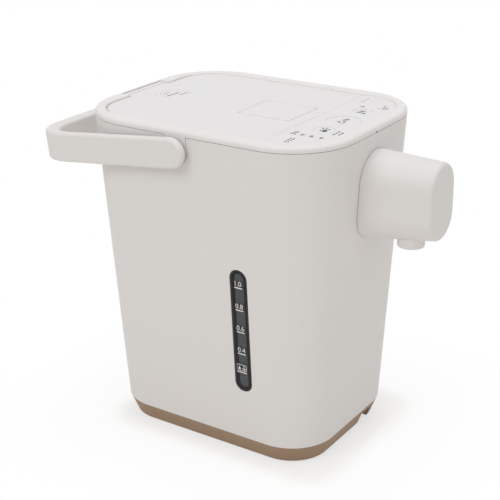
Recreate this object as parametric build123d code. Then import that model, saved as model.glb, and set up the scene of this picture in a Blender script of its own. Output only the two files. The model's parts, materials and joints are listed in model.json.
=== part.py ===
from build123d import *
import math
import os

# Electric thermo pot. Lengths are in millimetres. The housing frame has its origin at the centre of
# the base's lower edge, +Z up, the spout towards -Y and the water gauge on the -X side.

# Housing
BODY_TOP_WIDTH = 157.0
BODY_TOP_DEPTH = 202.7
BODY_TOP_CORNER = 46.0
BODY_BOTTOM_CORNER = 34.0
SIDE_TAPER = 13.6
POT_HEIGHT = 240.0
RIM_HEIGHT = 4.0
RIM_BORDER = 10.5
RIM_EDGE = 2.5
INNER_EDGE = 0.8
WALL = 2.5
SEAM = 0.4
FIT = 0.1
SHAFT_FIT = 0.05
SOFT_GAP = 0.3

# Base, bottom plate and feet
BASE_HEIGHT = 13.3
BASE_INSET = 5.3
SKIRT_HEIGHT = 3.2
LEDGE = 8.0
PLATE = 2.4
FOOT_DROP = 1.2
FOOT_WIDTH = 7.0
FOOT_LENGTH = 40.0
FOOT_END = 47.75
FOOT_SETBACK = 4.5
NOTCH_LEFT = 17.0
NOTCH_WIDTH = 14.0
NOTCH_HEIGHT = 9.0
NOTCH_DEPTH = 9.0
BASE_SCREW_SIDE = 17.9
BASE_SCREW_END = 22.75
BOSS_R = 4.5
SCREW_R = 1.5
SCREW_HEAD_R = 3.0
SCREW_HEAD = 1.4
VENT_ROWS = 6
VENT_PITCH = 9.0
VENT_GAP = 3.0
VENT_HALF = 22.0

# Shoulder well, control panel and keys
PLATE_DROP = 0.8
WELL_CORNER = 27.5
WELL_DEPTH = 28.0
PANEL_DEPTH = 36.85
PANEL_GAP = 0.6
CROSS_WALL = 2.5
PANEL_THICK = 2.4
PANEL_LEDGE = 2.0
PANEL_EDGE = 0.4
KEY_ROW_SETBACK = 21.3
KEY_PITCH = 26.0
DISPENSE_KEY_R = 12.0
SMALL_KEY_R = 7.6
KEY_GAP = 0.3
KEY_TRAVEL = 0.6
KEY_FLANGE = 1.2
KEY_STEM_R = 2.5
LAMP_GAP = 7.0
LAMP_EDGE = 2.4
LAMP_BEHIND_KEYS = 8.3
LAMP_PITCH = 7.4
LAMP_COUNT = 3
LAMP_R = 1.0
CHIP_SIZE = 2.0
CHIP_HEIGHT = 1.0
BOARD_THICK = 1.6
CONTROL_BOARD_DEPTH = 24.0
CONTROL_BOARD_RISE = 14.0
BOARD_POST_R = 2.5
BOARD_POST_INSET = 4.0
SWITCH_SIZE = 6.0
SWITCH_HEIGHT = 3.6

# Vessel and heater
VESSEL_SIDE_GAP = 7.0
VESSEL_FRONT_GAP = 13.0
VESSEL_REAR_GAP = 15.85
VESSEL_WALL = 0.6
VESSEL_FLOOR_Z = 46.0
VESSEL_CORNER = 8.0
VESSEL_FLANGE = 3.4
MOUTH_INSET = 3.0
MOUTH_LIP = 2.0
GASKET_THICK = 1.6
JACKET_THICK = 2.0
JACKET_START = 10.0
JACKET_END = 7.9
HEATER_INSET = 11.0
HEATER_THICK = 3.4
SUPPORT_RIM = 2.0
SUPPORT_WIDTH = 6.0
SUPPORT_THICK = 2.5
SUPPORT_LEG = 7.0
SUPPORT_ANGLES = (-52, 0, 60, 120, 180)
SENSOR_INSET = 17.0
SENSOR_ANGLE = 16.0
SENSOR_R = 4.5
SENSOR_LENGTH = 9.0
SENSOR_FLANGE_R = 7.0
SENSOR_FLANGE = 1.5
FUSE_FRONT = 30.0
FUSE_SIDE = 4.0
FUSE_R = 2.0
FUSE_LENGTH = 14.0
FUSE_CLIP = 4.0

# Water gauge
GAUGE_Y = -36.6
GAUGE_WIDTH = 14.0
GAUGE_HEIGHT = 95.1
GAUGE_MID_Z = 100.0
BEZEL_RECESS = 0.3
BEZEL_WALL = 1.3
BEZEL_DEPTH = 5.0
BEZEL_FLANGE = 2.5
WINDOW_RECESS = 1.0
WINDOW_THICK = 2.0
TUBE_DEPTH = 11.0
TUBE_R = 4.5
TUBE_BORE_R = 3.5
TUBE_OVERHANG = 8.45
CARRIER_WIDTH = 15.0
CARRIER_DEPTH = 12.5
SEAL_R = 5.6
SEAL_GRIP = 6.0
SEAL_END = 3.0

# Pump and water path
PUMP_Z = 25.0
PUMP_R = 16.5
PUMP_FRONT = 15.0
PUMP_COVER = 3.0
PUMP_CHAMBER = 8.5
PUMP_CHAMBER_R = 13.5
PUMP_WALL = 1.5
MAGNET_CHAMBER = 11.0
MAGNET_CHAMBER_R = 11.0
IMPELLER_R = 12.5
IMPELLER_HUB_R = 4.0
IMPELLER_DISC = 2.0
IMPELLER_LENGTH = 6.0
IMPELLER_VANES = 6
VANE_THICK = 1.2
IMPELLER_PIN_R = 1.5
MAGNET_R = 9.5
MAGNET_LENGTH = 7.0
MOTOR_R = 13.8
MOTOR_LENGTH = 26.0
SHAFT_R = 1.0
SPIGOT_R = 4.0
SPIGOT_BORE_R = 2.8
SPIGOT_LENGTH = 10.0
OUTLET_X = 11.5
OUTLET_RISE = 4.0
HOSE_WALL = 1.4
HOSE_BEND = 10.0
PORT_INSET = 6.0
GAUGE_PORT_ANGLE = 50.5
GAUGE_HOSE_BEND = 6.5
RISER_SETBACK = 19.8
VALVE_R = 11.0
VALVE_RISE = 11.0
VALVE_HEIGHT = 28.0
VALVE_WALL = 2.0
VALVE_BALL_R = 5.0
VALVE_OUTLET = 18.0

# Spout
SPOUT_ROOT_INSET = 2.55
SPOUT_ROOT_WIDTH = 40.6
SPOUT_ROOT_DROP = 16.0
SPOUT_ROOT_HEIGHT = 63.0
SPOUT_REACH = 52.2
SPOUT_END_WIDTH = 35.0
SPOUT_END_DROP = 2.0
SPOUT_END_HEIGHT = 53.5
SPOUT_SINK = 6.0
SPOUT_EDGE = 2.8
SPOUT_WALL = 2.2
SPOUT_SEAM = 0.3
SPOUT_BOSS_R = 4.0
SPOUT_BOSS_LENGTH = 12.0
SPOUT_RIB = 2.0
SPOUT_SCREW_TOP = 11.0
SPOUT_SCREW_FOOT = 10.0
SPOUT_OPENING_WIDTH = 18.0
SPOUT_OPENING_HEIGHT = 26.0
BRACKET_HALF = 15.0
BRACKET_THICK = 2.0
BRACKET_MARGIN = 6.0
NOZZLE_SETBACK = 22.0
NOZZLE_R = 9.5
NOZZLE_DROP = 4.5
NOZZLE_HEIGHT = 18.5
NOZZLE_SEAT_HEIGHT = 7.5
NOZZLE_FLANGE_R = 11.0
NOZZLE_FLANGE = 2.0
NOZZLE_BORE_R = 4.6
NOZZLE_EDGE = 1.2
SPOUT_TUBE_R = 6.5
SPOUT_TUBE_BORE_R = 4.5
SPOUT_TUBE_BEND = 14.0

# Power board and inlet
BOARD_SETBACK = 19.0
POWER_BOARD_SIDE = 24.9
POWER_BOARD_LOW = 14.0
POWER_BOARD_HIGH = 104.0
PIPE_NOTCH_HALF = 14.0
PIPE_NOTCH_TOP = 40.0
TRANSFORMER_INSET = 16.0
TRANSFORMER_Z = 73.0
CORE_WIDTH = 26.0
CORE_HEIGHT = 22.0
CORE_DEPTH = 14.0
WINDING_WIDTH = 20.0
WINDING_HEIGHT = 14.0
WINDING_DEPTH = 17.0
RELAY_INSET = 19.0
RELAY_Z = 73.0
RELAY_WIDTH = 18.0
RELAY_HEIGHT = 14.0
RELAY_DEPTH = 15.0
CAPACITOR_INSET = 18.0
CAPACITOR_Z = 93.0
CAPACITOR_R = 6.0
CAPACITOR_LENGTH = 12.0
CONNECTOR_INSET = 14.0
CONNECTOR_Z = 28.0
CONNECTOR_WIDTH = 20.0
CONNECTOR_HEIGHT = 8.0
CONNECTOR_DEPTH = 8.0
SINK_INSET = 13.0
SINK_Z = 42.0
SINK_WIDTH = 20.0
SINK_HEIGHT = 22.0
SINK_FINS = 3
SINK_FIN = 1.6
SINK_DEPTH = 10.0
GUIDE_HEIGHT = 50.0
GUIDE_WIDTH = 3.0
GUIDE_DEPTH = 5.0
INLET_WIDTH = 40.0
INLET_HEIGHT = 22.0
INLET_Z = 31.0
INLET_CORNER = 4.0
INLET_RECESS = 0.8
INLET_DEPTH = 16.0
INLET_WALL = 3.0
INLET_HOLLOW = 13.0
INLET_FLANGE = 3.0
PIN_R = 2.0
PIN_PITCH = 16.0
PIN_LENGTH = 9.0
MAGNET_PLATE = 3.0

# Bail handle
PIVOT_Y = 8.55
PIVOT_DROP = 14.8
HANDLE_TILT = 6.5
HANDLE_SIDE_GAP = 1.8
ARM_THICK = 6.2
ARM_HEIGHT = 21.4
HANDLE_REAR_GAP = 32.2
GRIP_THICK = 12.5
HANDLE_CORNER = 30.0
HANDLE_EDGE = 2.4
HANDLE_PIN_R = 3.5
HANDLE_PIN_DEPTH = 3.2
HANDLE_BOSS_R = 6.0
TAB_WIDTH = 17.5

# Lid and its hinge
LID_GAP = 0.6
LID_REAR_GAP = 1.25
LID_LEDGE = 1.4
LID_LEDGE_THICK = 1.5
LID_THICK = 2.4
LID_WALL = 2.2
LID_SETBACK = 2.5
LID_EDGE = 0.6
LID_DEPTH = 21.0
LID_BASE_THICK = 2.5
LID_SCREW_FRONT = 16.0
LID_SCREW_REAR = 41.7
LID_SCREW_FRONT_SIDE = 13.0
LID_SCREW_REAR_SIDE = 22.0
HINGE_SETBACK = 5.6
HINGE_DROP = 3.5
HINGE_HALF = 22.5
HINGE_LUG = 6.0
KNUCKLE_R = 3.15
HINGE_PIN_R = 1.5
TONGUE_THICK = 4.7
STRIP_WIDTH = 2.2
LID_GASKET_OVERLAP = 3.5
LID_GASKET_WIDTH = 7.5
INNER_LID_GAP = 4.5
INNER_LID_DROP = 8.5
INNER_LID_WALL = 0.8
INNER_LID_CORNER = 4.0
LID_COLLAR_GAP = 0.3
LID_COLLAR_WALL = 3.0
LID_COLLAR_DROP = 3.0
VENT_OFFSET = 6.5
VENT_R = 11.0
VENT_RIM = 1.4
VENT_DISH = 0.8
VENT_HOLE_R = 3.5
CAP_SLOT = 10.0
CAP_SLOT_WIDTH = 1.8
CAP_SLOT_PITCH = 4.0
CHAMBER_INSET = 7.5
CHAMBER_R = 8.0
CHAMBER_WALL = 1.5
STEAM_SEAT_RISE = 5.5
STEAM_HOLE_R = 2.6
STEAM_BALL_R = 3.5

# Lid lever and latch
LEVER_HALF = 19.0
LEVER_SETBACK = 10.6
LEVER_LENGTH = 39.4
LEVER_KNUCKLE_R = 3.1
LEVER_THICK = 2.0
LEVER_PIN_R = 1.2
LEVER_GAP = 0.5
LEVER_CORNER = 3.0
LEVER_LUG_WIDTH = 3.5
HOOK_SETBACK = 9.5
HOOK_DROP = 12.0
HOOK_BOSS_R = 3.2
HOOK_HALF = 12.0
HOOK_ARM_WIDTH = 6.0
HOOK_ARM_LENGTH = 26.0
HOOK_ARM_THICK = 2.6
HOOK_TIP_GAP = 0.8
HOOK_NOSE_RISE = 1.0
HOOK_NOSE_THICK = 3.0
HOOK_WEB = 3.8
HOOK_LUG = 3.0
LIFTER_INSET = 1.7
LIFTER_HALF = 5.0
LIFTER_BAR_R = 1.2
LATCH_PIN_R = 1.5
SPRING_R = 2.5
SPRING_WIRE = 0.4
SPRING_HALF = 4.0
SPRING_TURNS = 5
STRIKE_DEPTH = 1.2

# Worked out from the sizes above: heights and the outline
TOP_Z = POT_HEIGHT
RIM_SEAM_Z = POT_HEIGHT - RIM_HEIGHT
PLATE_Z = POT_HEIGHT - PLATE_DROP
WELL_Z = POT_HEIGHT - WELL_DEPTH
WELL_WIDTH = BODY_TOP_WIDTH - 2 * RIM_BORDER
WELL_LENGTH = BODY_TOP_DEPTH - 2 * RIM_BORDER
TAPER_HEIGHT = RIM_SEAM_Z - BASE_HEIGHT
LEAN = math.atan(SIDE_TAPER / TAPER_HEIGHT)
BODY_BOTTOM_WIDTH = BODY_TOP_WIDTH - 2 * SIDE_TAPER
BODY_BOTTOM_DEPTH = BODY_TOP_DEPTH - 2 * SIDE_TAPER
CHASSIS_Z = SKIRT_HEIGHT + WALL
DECK_Z = CHASSIS_Z + WALL
BASE_SCREW_X = BODY_BOTTOM_WIDTH / 2 - BASE_SCREW_SIDE
BASE_SCREW_Y = BODY_BOTTOM_DEPTH / 2 - BASE_SCREW_END
FOOT_MID_Y = BODY_BOTTOM_DEPTH / 2 - FOOT_END

# Worked out: panel and its board
PANEL_SEAM_Y = PANEL_DEPTH - WELL_LENGTH / 2
PANEL_Z = PLATE_Z - PANEL_THICK
PANEL_BACK = PANEL_SEAM_Y - PANEL_GAP / 2
KEY_ROW_Y = PANEL_SEAM_Y - KEY_ROW_SETBACK
LAMP_X = -(KEY_PITCH + SMALL_KEY_R + LAMP_GAP)
CONTROL_BOARD_HALF = LAMP_EDGE - LAMP_X
LAMP_FIRST_Y = KEY_ROW_Y + LAMP_BEHIND_KEYS
CONTROL_BOARD_Z = WELL_Z + CONTROL_BOARD_RISE
SWITCH_TOP = CONTROL_BOARD_Z + BOARD_THICK + SWITCH_HEIGHT

# Worked out: spout, riser and power board
SPOUT_ROOT_Y = SPOUT_ROOT_INSET - BODY_TOP_DEPTH / 2
SPOUT_END_Y = SPOUT_ROOT_Y - SPOUT_REACH
SPOUT_ROOT_HIGH = POT_HEIGHT - SPOUT_ROOT_DROP
SPOUT_ROOT_LOW = SPOUT_ROOT_HIGH - SPOUT_ROOT_HEIGHT
SPOUT_END_HIGH = SPOUT_ROOT_HIGH - SPOUT_END_DROP
SPOUT_END_LOW = SPOUT_END_HIGH - SPOUT_END_HEIGHT
SPOUT_SCREW_HIGH = SPOUT_ROOT_HIGH - SPOUT_SCREW_TOP
SPOUT_SCREW_LOW = SPOUT_ROOT_LOW + SPOUT_SCREW_FOOT
NOZZLE_Y = SPOUT_END_Y + NOZZLE_SETBACK
NOZZLE_BOTTOM = SPOUT_ROOT_LOW - NOZZLE_DROP
NOZZLE_TOP = NOZZLE_BOTTOM + NOZZLE_HEIGHT
NOZZLE_SEAT = NOZZLE_BOTTOM + NOZZLE_SEAT_HEIGHT
RISER_Y = SPOUT_ROOT_Y + RISER_SETBACK
VALVE_BOTTOM_Z = SPOUT_ROOT_LOW + VALVE_RISE
VALVE_TOP_Z = VALVE_BOTTOM_Z + VALVE_HEIGHT
VALVE_OUTLET_Z = VALVE_BOTTOM_Z + VALVE_OUTLET
BOARD_Y = RISER_Y + BOARD_SETBACK
POWER_BOARD_HALF = BODY_BOTTOM_WIDTH / 2 - POWER_BOARD_SIDE

# Worked out: gauge tube longer than its window at both ends
TUBE_LENGTH = GAUGE_HEIGHT + 2 * TUBE_OVERHANG

# Worked out: vessel between the power board and the rear, heater and pump under it
VESSEL_FRONT_Y = BOARD_Y + VESSEL_FRONT_GAP
VESSEL_REAR_Y = WELL_LENGTH / 2 - VESSEL_REAR_GAP
VESSEL_Y = (VESSEL_FRONT_Y + VESSEL_REAR_Y) / 2
VESSEL_BORE_R = min(WELL_WIDTH / 2 - VESSEL_SIDE_GAP, (VESSEL_REAR_Y - VESSEL_FRONT_Y) / 2)
VESSEL_OUTER_R = VESSEL_BORE_R + VESSEL_WALL
VESSEL_TOP_Z = WELL_Z - WALL - GASKET_THICK
MOUTH_R = VESSEL_BORE_R - MOUTH_INSET
HEATER_R = VESSEL_BORE_R - HEATER_INSET
HEATER_Z = VESSEL_FLOOR_Z - HEATER_THICK
SUPPORT_OUTER_R = HEATER_R + SUPPORT_RIM
SUPPORT_INNER_R = SUPPORT_OUTER_R - SUPPORT_WIDTH
SENSOR_X = (SUPPORT_INNER_R - SENSOR_INSET) * math.cos(math.radians(SENSOR_ANGLE))
SENSOR_Y = VESSEL_Y + (SUPPORT_INNER_R - SENSOR_INSET) * math.sin(math.radians(SENSOR_ANGLE))
FUSE_X = SENSOR_X - FUSE_SIDE
FUSE_Y = SENSOR_Y - FUSE_FRONT
HOSE_BORE_R = SPIGOT_R + FIT
HOSE_R = SPIGOT_R + HOSE_WALL
PORT_BOTTOM_Z = VESSEL_FLOOR_Z - SPIGOT_LENGTH
PORT_CIRCLE = HEATER_R - PORT_INSET
PORT_Y = VESSEL_Y - PORT_CIRCLE
GAUGE_PORT_X = -PORT_CIRCLE * math.sin(math.radians(GAUGE_PORT_ANGLE))
GAUGE_PORT_Y = VESSEL_Y - PORT_CIRCLE * math.cos(math.radians(GAUGE_PORT_ANGLE))
PORTS = ((0, PORT_Y), (GAUGE_PORT_X, GAUGE_PORT_Y))
PUMP_FRONT_Y = VESSEL_Y - PUMP_FRONT
PUMP_MID_Y = PUMP_FRONT_Y + PUMP_CHAMBER
MOTOR_Y = PUMP_MID_Y + PUMP_WALL + MAGNET_CHAMBER

# Worked out: lid, hinge, vent, lever and latch
LID_FRONT = PANEL_SEAM_Y + PANEL_GAP / 2
LID_REAR = WELL_LENGTH / 2 - LID_REAR_GAP
LID_UNDER = PLATE_Z - LID_THICK
LID_SKIRT_Z = POT_HEIGHT - LID_DEPTH
LID_BASE_Z = LID_SKIRT_Z - LID_BASE_THICK
HINGE_Y = LID_REAR + HINGE_SETBACK
HINGE_Z = POT_HEIGHT - HINGE_DROP
LID_GASKET_OUTER = MOUTH_R + LID_GASKET_OVERLAP
LID_GASKET_INNER = LID_GASKET_OUTER - LID_GASKET_WIDTH
INNER_LID_R = MOUTH_R - INNER_LID_GAP
INNER_LID_Z = LID_BASE_Z - INNER_LID_DROP
LID_COLLAR_R = INNER_LID_R - INNER_LID_WALL - LID_COLLAR_GAP
CHAMBER_Y = VESSEL_Y + INNER_LID_R - CHAMBER_INSET
VENT_Y = CHAMBER_Y + VENT_OFFSET
STEAM_SEAT_Z = LID_SKIRT_Z + STEAM_SEAT_RISE
LEVER_FRONT = PANEL_SEAM_Y + LEVER_SETBACK
LEVER_PIVOT_Y = LEVER_FRONT + LEVER_LENGTH
LEVER_PIVOT_Z = PLATE_Z - LEVER_KNUCKLE_R
HOOK_PIVOT_Y = PANEL_SEAM_Y + HOOK_SETBACK
HOOK_PIVOT_Z = POT_HEIGHT - HOOK_DROP
HOOK_ARM_END = HOOK_PIVOT_Y + HOOK_ARM_LENGTH
HOOK_TIP_Y = PANEL_SEAM_Y + HOOK_TIP_GAP
HOOK_NOSE_LOW = LID_SKIRT_Z + HOOK_NOSE_RISE
HOOK_NOSE_HIGH = HOOK_NOSE_LOW + HOOK_NOSE_THICK
LIFTER_Y = HOOK_ARM_END - LIFTER_INSET

# Worked out: handle and the place of the whole pot
PIVOT_Z = POT_HEIGHT - PIVOT_DROP
HANDLE_INNER_HALF = BODY_TOP_WIDTH / 2 + HANDLE_SIDE_GAP
HANDLE_OUTER_HALF = HANDLE_INNER_HALF + ARM_THICK
HANDLE_REACH = BODY_TOP_DEPTH / 2 - PIVOT_Y + HANDLE_REAR_GAP
TILT = math.radians(HANDLE_TILT)
HANDLE_REAR = (
    PIVOT_Y
    + (HANDLE_REACH - HANDLE_EDGE) * math.cos(TILT)
    + (ARM_HEIGHT / 2 - HANDLE_EDGE) * math.sin(TILT)
    + HANDLE_EDGE
)
ORIGIN_SHIFT = (-SPOUT_END_Y - HANDLE_REAR) / 2
STANDING = (Align.CENTER, Align.CENTER, Align.MIN)


def block(x, y, z):
    """Box given by its low and high limit along each axis."""
    spans = (x, y, z)
    middle = [(low + high) / 2 for low, high in spans]
    return Pos(*middle) * Box(*[high - low for low, high in spans])


def rod(radius, start, end):
    """Round bar from one point to another."""
    axis = Vector(*end) - Vector(*start)
    return Plane(origin=start, z_dir=axis) * Cylinder(radius, axis.length, align=STANDING)


def disc(radius, x, y, low, high):
    return rod(radius, (x, y, low), (x, y, high))


def cross_rod(radius, half, y, z):
    """Round bar across the pot, centred on its middle plane."""
    return rod(radius, (-half, y, z), (half, y, z))


def ring(outer, inner, low, high, x=0.0, y=VESSEL_Y):
    return disc(outer, x, y, low, high) - disc(inner, x, y, low, high)


def screw(head, tip):
    """Pan-head screw: the head's seat is at the first point."""
    axis = (Vector(*tip) - Vector(*head)).normalized()
    crown = Vector(*head) - axis * SCREW_HEAD
    return rod(SCREW_R, head, tip) + rod(SCREW_HEAD_R, tuple(crown), head)


def hose(points, bend, outer, bore):
    """Round pipe along straight runs joined by bends."""
    path = FilletPolyline(*points, radius=bend)
    start = Plane(origin=path @ 0, z_dir=path % 0)
    return sweep(start * Circle(outer), path=path) - sweep(start * Circle(bore), path=path)


def housing_half(z):
    """Half width and half depth of the tapered housing at one height."""
    drop = SIDE_TAPER * (RIM_SEAM_Z - z) / TAPER_HEIGHT
    return BODY_TOP_WIDTH / 2 - drop, BODY_TOP_DEPTH / 2 - drop


def housing_section(z, inset=0.0):
    half_width, half_depth = housing_half(z)
    share = (RIM_SEAM_Z - z) / TAPER_HEIGHT
    corner = BODY_TOP_CORNER - (BODY_TOP_CORNER - BODY_BOTTOM_CORNER) * share
    return Pos(0, 0, z) * RectangleRounded(
        2 * (half_width - inset), 2 * (half_depth - inset), corner - inset
    )


def housing_block(low, high, inset=0.0):
    return loft([housing_section(low, inset), housing_section(high, inset)], ruled=True)


def base_section(z, inset=0.0):
    draw = BASE_INSET * (BASE_HEIGHT - z) / BASE_HEIGHT + inset
    return Pos(0, 0, z) * RectangleRounded(
        BODY_BOTTOM_WIDTH - 2 * draw, BODY_BOTTOM_DEPTH - 2 * draw, BODY_BOTTOM_CORNER - draw
    )


def base_block(low, high, inset=0.0):
    return loft([base_section(low, inset), base_section(high, inset)], ruled=True)


def well_block(low, high, inset=0.0):
    """Straight-sided block inside the rim: a negative inset reaches into the rim."""
    sketch = RectangleRounded(WELL_WIDTH - 2 * inset, WELL_LENGTH - 2 * inset, WELL_CORNER - inset)
    return Pos(0, 0, low) * extrude(sketch, high - low)


def lid_block(low, high, inset=0.0):
    half = WELL_WIDTH / 2 - LID_GAP - inset
    rear = LID_REAR - inset
    sketch = RectangleRounded(2 * half, 2 * rear, WELL_CORNER - LID_GAP - inset)
    body = Pos(0, 0, low) * extrude(sketch, high - low)
    return body & block((-half, half), (LID_FRONT + inset, rear), (low, high))


def gauge_plane(depth=0.0):
    """Plane below the gauge side's face, X to the front and Y up along the leaning face."""
    half_width, _ = housing_half(GAUGE_MID_Z)
    outward = (-math.cos(LEAN), 0, -math.sin(LEAN))
    face = Plane(origin=(-half_width, GAUGE_Y, GAUGE_MID_Z), x_dir=(0, -1, 0), z_dir=outward)
    return face.offset(-depth)


def gauge_solid(sketch, outer_depth, inner_depth):
    return extrude(gauge_plane(inner_depth) * sketch, inner_depth - outer_depth)


def gauge_slot(inset, outer_depth, inner_depth):
    sketch = SlotOverall(GAUGE_HEIGHT - 2 * inset, GAUGE_WIDTH - 2 * inset, rotation=90)
    return gauge_solid(sketch, outer_depth, inner_depth)


def gauge_point(along, depth=TUBE_DEPTH):
    """Point on the gauge tube's axis, counted up the leaning face from its middle."""
    plane = gauge_plane(depth)
    return tuple(plane.origin + plane.y_dir * along)


def spout_section(y, inset=0.0):
    share = (y - SPOUT_ROOT_Y) / (SPOUT_END_Y - SPOUT_ROOT_Y)
    width = SPOUT_ROOT_WIDTH + share * (SPOUT_END_WIDTH - SPOUT_ROOT_WIDTH)
    low = SPOUT_ROOT_LOW + share * (SPOUT_END_LOW - SPOUT_ROOT_LOW)
    high = SPOUT_ROOT_HIGH + share * (SPOUT_END_HIGH - SPOUT_ROOT_HIGH)
    sketch = SlotOverall(high - low - 2 * inset, width - 2 * inset, rotation=90)
    return Plane.XZ.offset(-y) * Pos(0, (low + high) / 2, 0) * sketch


def spout_block(start, end, inset=0.0):
    return loft([spout_section(start, inset), spout_section(end, inset)], ruled=True)


def corners(x, y):
    return [(side * x, end * y) for side in (-1, 1) for end in (-1, 1)]


def lid_screw_places():
    front = (WELL_WIDTH / 2 - LID_SCREW_FRONT_SIDE, PANEL_SEAM_Y + LID_SCREW_FRONT)
    rear = (WELL_WIDTH / 2 - LID_SCREW_REAR_SIDE, LID_REAR - LID_SCREW_REAR)
    return [(side * x, y) for side in (-1, 1) for x, y in (front, rear)]


def notch_pocket(margin):
    """Space of the base's front notch with its walls."""
    front = -BODY_BOTTOM_DEPTH / 2
    return block(
        (NOTCH_LEFT - margin, NOTCH_LEFT + NOTCH_WIDTH + margin),
        (front - margin, front + BASE_INSET + NOTCH_DEPTH + margin),
        (-margin, NOTCH_HEIGHT + margin),
    )


def base_shell():
    shell = base_block(0, BASE_HEIGHT) - base_block(0, BASE_HEIGHT, WALL)
    low, high = SKIRT_HEIGHT, CHASSIS_Z
    shell += base_block(low, high, WALL / 2) - base_block(low, high, WALL + LEDGE)
    shell += notch_pocket(WALL) & base_block(0, BASE_HEIGHT)
    for x, y in corners(BASE_SCREW_X, BASE_SCREW_Y):
        shell += disc(BOSS_R, x, y, low, high)
        shell -= disc(SCREW_R + FIT, x, y, 0, BASE_HEIGHT)
    return shell - notch_pocket(0)


def bottom_plate():
    plate = base_block(SKIRT_HEIGHT - PLATE, SKIRT_HEIGHT, WALL + SEAM)
    plate -= notch_pocket(WALL + SEAM)
    for x, y in corners(BASE_SCREW_X, BASE_SCREW_Y):
        plate -= disc(SCREW_R + FIT, x, y, 0, SKIRT_HEIGHT)
        plate -= disc(SCREW_HEAD_R + FIT, x, y, 0, SKIRT_HEIGHT - PLATE + SCREW_HEAD)
    for row in range(VENT_ROWS):
        y = (row - (VENT_ROWS - 1) / 2) * VENT_PITCH
        plate -= block((-VENT_HALF, VENT_HALF), (y - VENT_GAP / 2, y + VENT_GAP / 2), (0, SKIRT_HEIGHT))
    return plate


def base_screws():
    seat = SKIRT_HEIGHT - PLATE + SCREW_HEAD
    screws = [screw((x, y, seat), (x, y, CHASSIS_Z)) for x, y in corners(BASE_SCREW_X, BASE_SCREW_Y)]
    return Compound(children=screws)


def feet():
    side_x = BODY_BOTTOM_WIDTH / 2 - BASE_INSET - FOOT_SETBACK - FOOT_WIDTH / 2
    pad = extrude(SlotOverall(FOOT_LENGTH, FOOT_WIDTH, rotation=90), SKIRT_HEIGHT - PLATE + FOOT_DROP)
    return Compound(children=[Pos(x, y, -FOOT_DROP) * pad for x, y in corners(side_x, FOOT_MID_Y)])


def chassis_plate():
    deck = base_block(CHASSIS_Z, DECK_Z, WALL + SEAM)
    for side in (-1, 1):
        inner = side * (POWER_BOARD_HALF - GUIDE_WIDTH)
        outer = side * (POWER_BOARD_HALF + GUIDE_WIDTH)
        deck += block(
            (min(inner, outer), max(inner, outer)),
            (BOARD_Y - BOARD_THICK / 2 - GUIDE_DEPTH / 2, BOARD_Y - BOARD_THICK / 2 + GUIDE_DEPTH / 2),
            (CHASSIS_Z, DECK_Z + GUIDE_HEIGHT),
        )
    deck -= block(
        (-POWER_BOARD_HALF - FIT, POWER_BOARD_HALF + FIT),
        (BOARD_Y - BOARD_THICK - FIT, BOARD_Y + FIT),
        (POWER_BOARD_LOW, POWER_BOARD_HIGH),
    )
    return deck - notch_pocket(WALL + SEAM)


def body_shell():
    top = RIM_SEAM_Z - SEAM
    shell = housing_block(BASE_HEIGHT, top) - housing_block(BASE_HEIGHT, top, WALL)
    shell -= gauge_slot(-FIT, -WALL, 2 * WALL)
    shell -= spout_opening()
    for z in (SPOUT_SCREW_LOW, SPOUT_SCREW_HIGH):
        shell -= rod(SCREW_R + FIT, (0, -BODY_TOP_DEPTH, z), (0, BOARD_Y, z))
    shell -= inlet_solid(-FIT, 0, BODY_TOP_DEPTH)
    return shell - tab_space(SEAM)


def spout_opening():
    sketch = SlotOverall(SPOUT_OPENING_HEIGHT, SPOUT_OPENING_WIDTH, rotation=90)
    return extrude(Plane.XZ * Pos(0, VALVE_OUTLET_Z, 0) * sketch, BODY_TOP_DEPTH)


def shoulder_rim():
    band = Pos(0, 0, RIM_SEAM_Z) * extrude(
        RectangleRounded(BODY_TOP_WIDTH, BODY_TOP_DEPTH, BODY_TOP_CORNER), RIM_HEIGHT
    )
    band = fillet(band.faces().sort_by(Axis.Z)[-1].edges(), RIM_EDGE)
    band -= well_block(RIM_SEAM_Z, TOP_Z)
    band = fillet(band.faces().sort_by(Axis.Z)[-1].inner_wires()[0].edges(), INNER_EDGE)
    well = well_block(WELL_Z - WALL, RIM_SEAM_Z, -WALL) - well_block(WELL_Z, RIM_SEAM_Z)
    rim = band + well + panel_seat() + lid_ledge() + mouth_lip() + board_posts()
    rim += handle_tabs() + hinge_lugs()
    rim -= disc(MOUTH_R, 0, VESSEL_Y, 0, TOP_Z)
    rim -= strike_recess()
    return rim - hinge_notch() - cross_rod(HINGE_PIN_R + FIT, HINGE_HALF + HINGE_LUG - 1, HINGE_Y, HINGE_Z)


def panel_seat():
    """Cross wall behind the control panel and the ledge that its edge lies on."""
    half = WELL_WIDTH / 2 + WALL / 2
    wall = block((-half, half), (PANEL_BACK - CROSS_WALL, PANEL_BACK), (WELL_Z - WALL, PANEL_Z))
    ledge = well_block(PANEL_Z - PANEL_LEDGE, PANEL_Z, -WALL / 2)
    ledge -= well_block(PANEL_Z - PANEL_LEDGE, PANEL_Z, PANEL_LEDGE)
    front = block((-half, half), (-BODY_TOP_DEPTH, PANEL_BACK), (0, TOP_Z))
    return wall + (ledge & front)


def lid_ledge():
    """Narrow ledge below the lid's edge: it closes the gap round the lid from below."""
    high = LID_UNDER - SEAM
    low = high - LID_LEDGE_THICK
    ledge = well_block(low, high, -WALL / 2) - well_block(low, high, LID_LEDGE)
    return ledge & block((-WELL_WIDTH, WELL_WIDTH), (PANEL_BACK - WALL, WELL_LENGTH), (low, high))


def mouth_lip():
    return ring(MOUTH_R + WALL, MOUTH_R, WELL_Z - WALL, WELL_Z + MOUTH_LIP)


def board_places():
    half_y = CONTROL_BOARD_DEPTH / 2 - BOARD_POST_INSET
    return [(x, KEY_ROW_Y + y) for x, y in corners(CONTROL_BOARD_HALF - BOARD_POST_INSET, half_y)]


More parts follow.
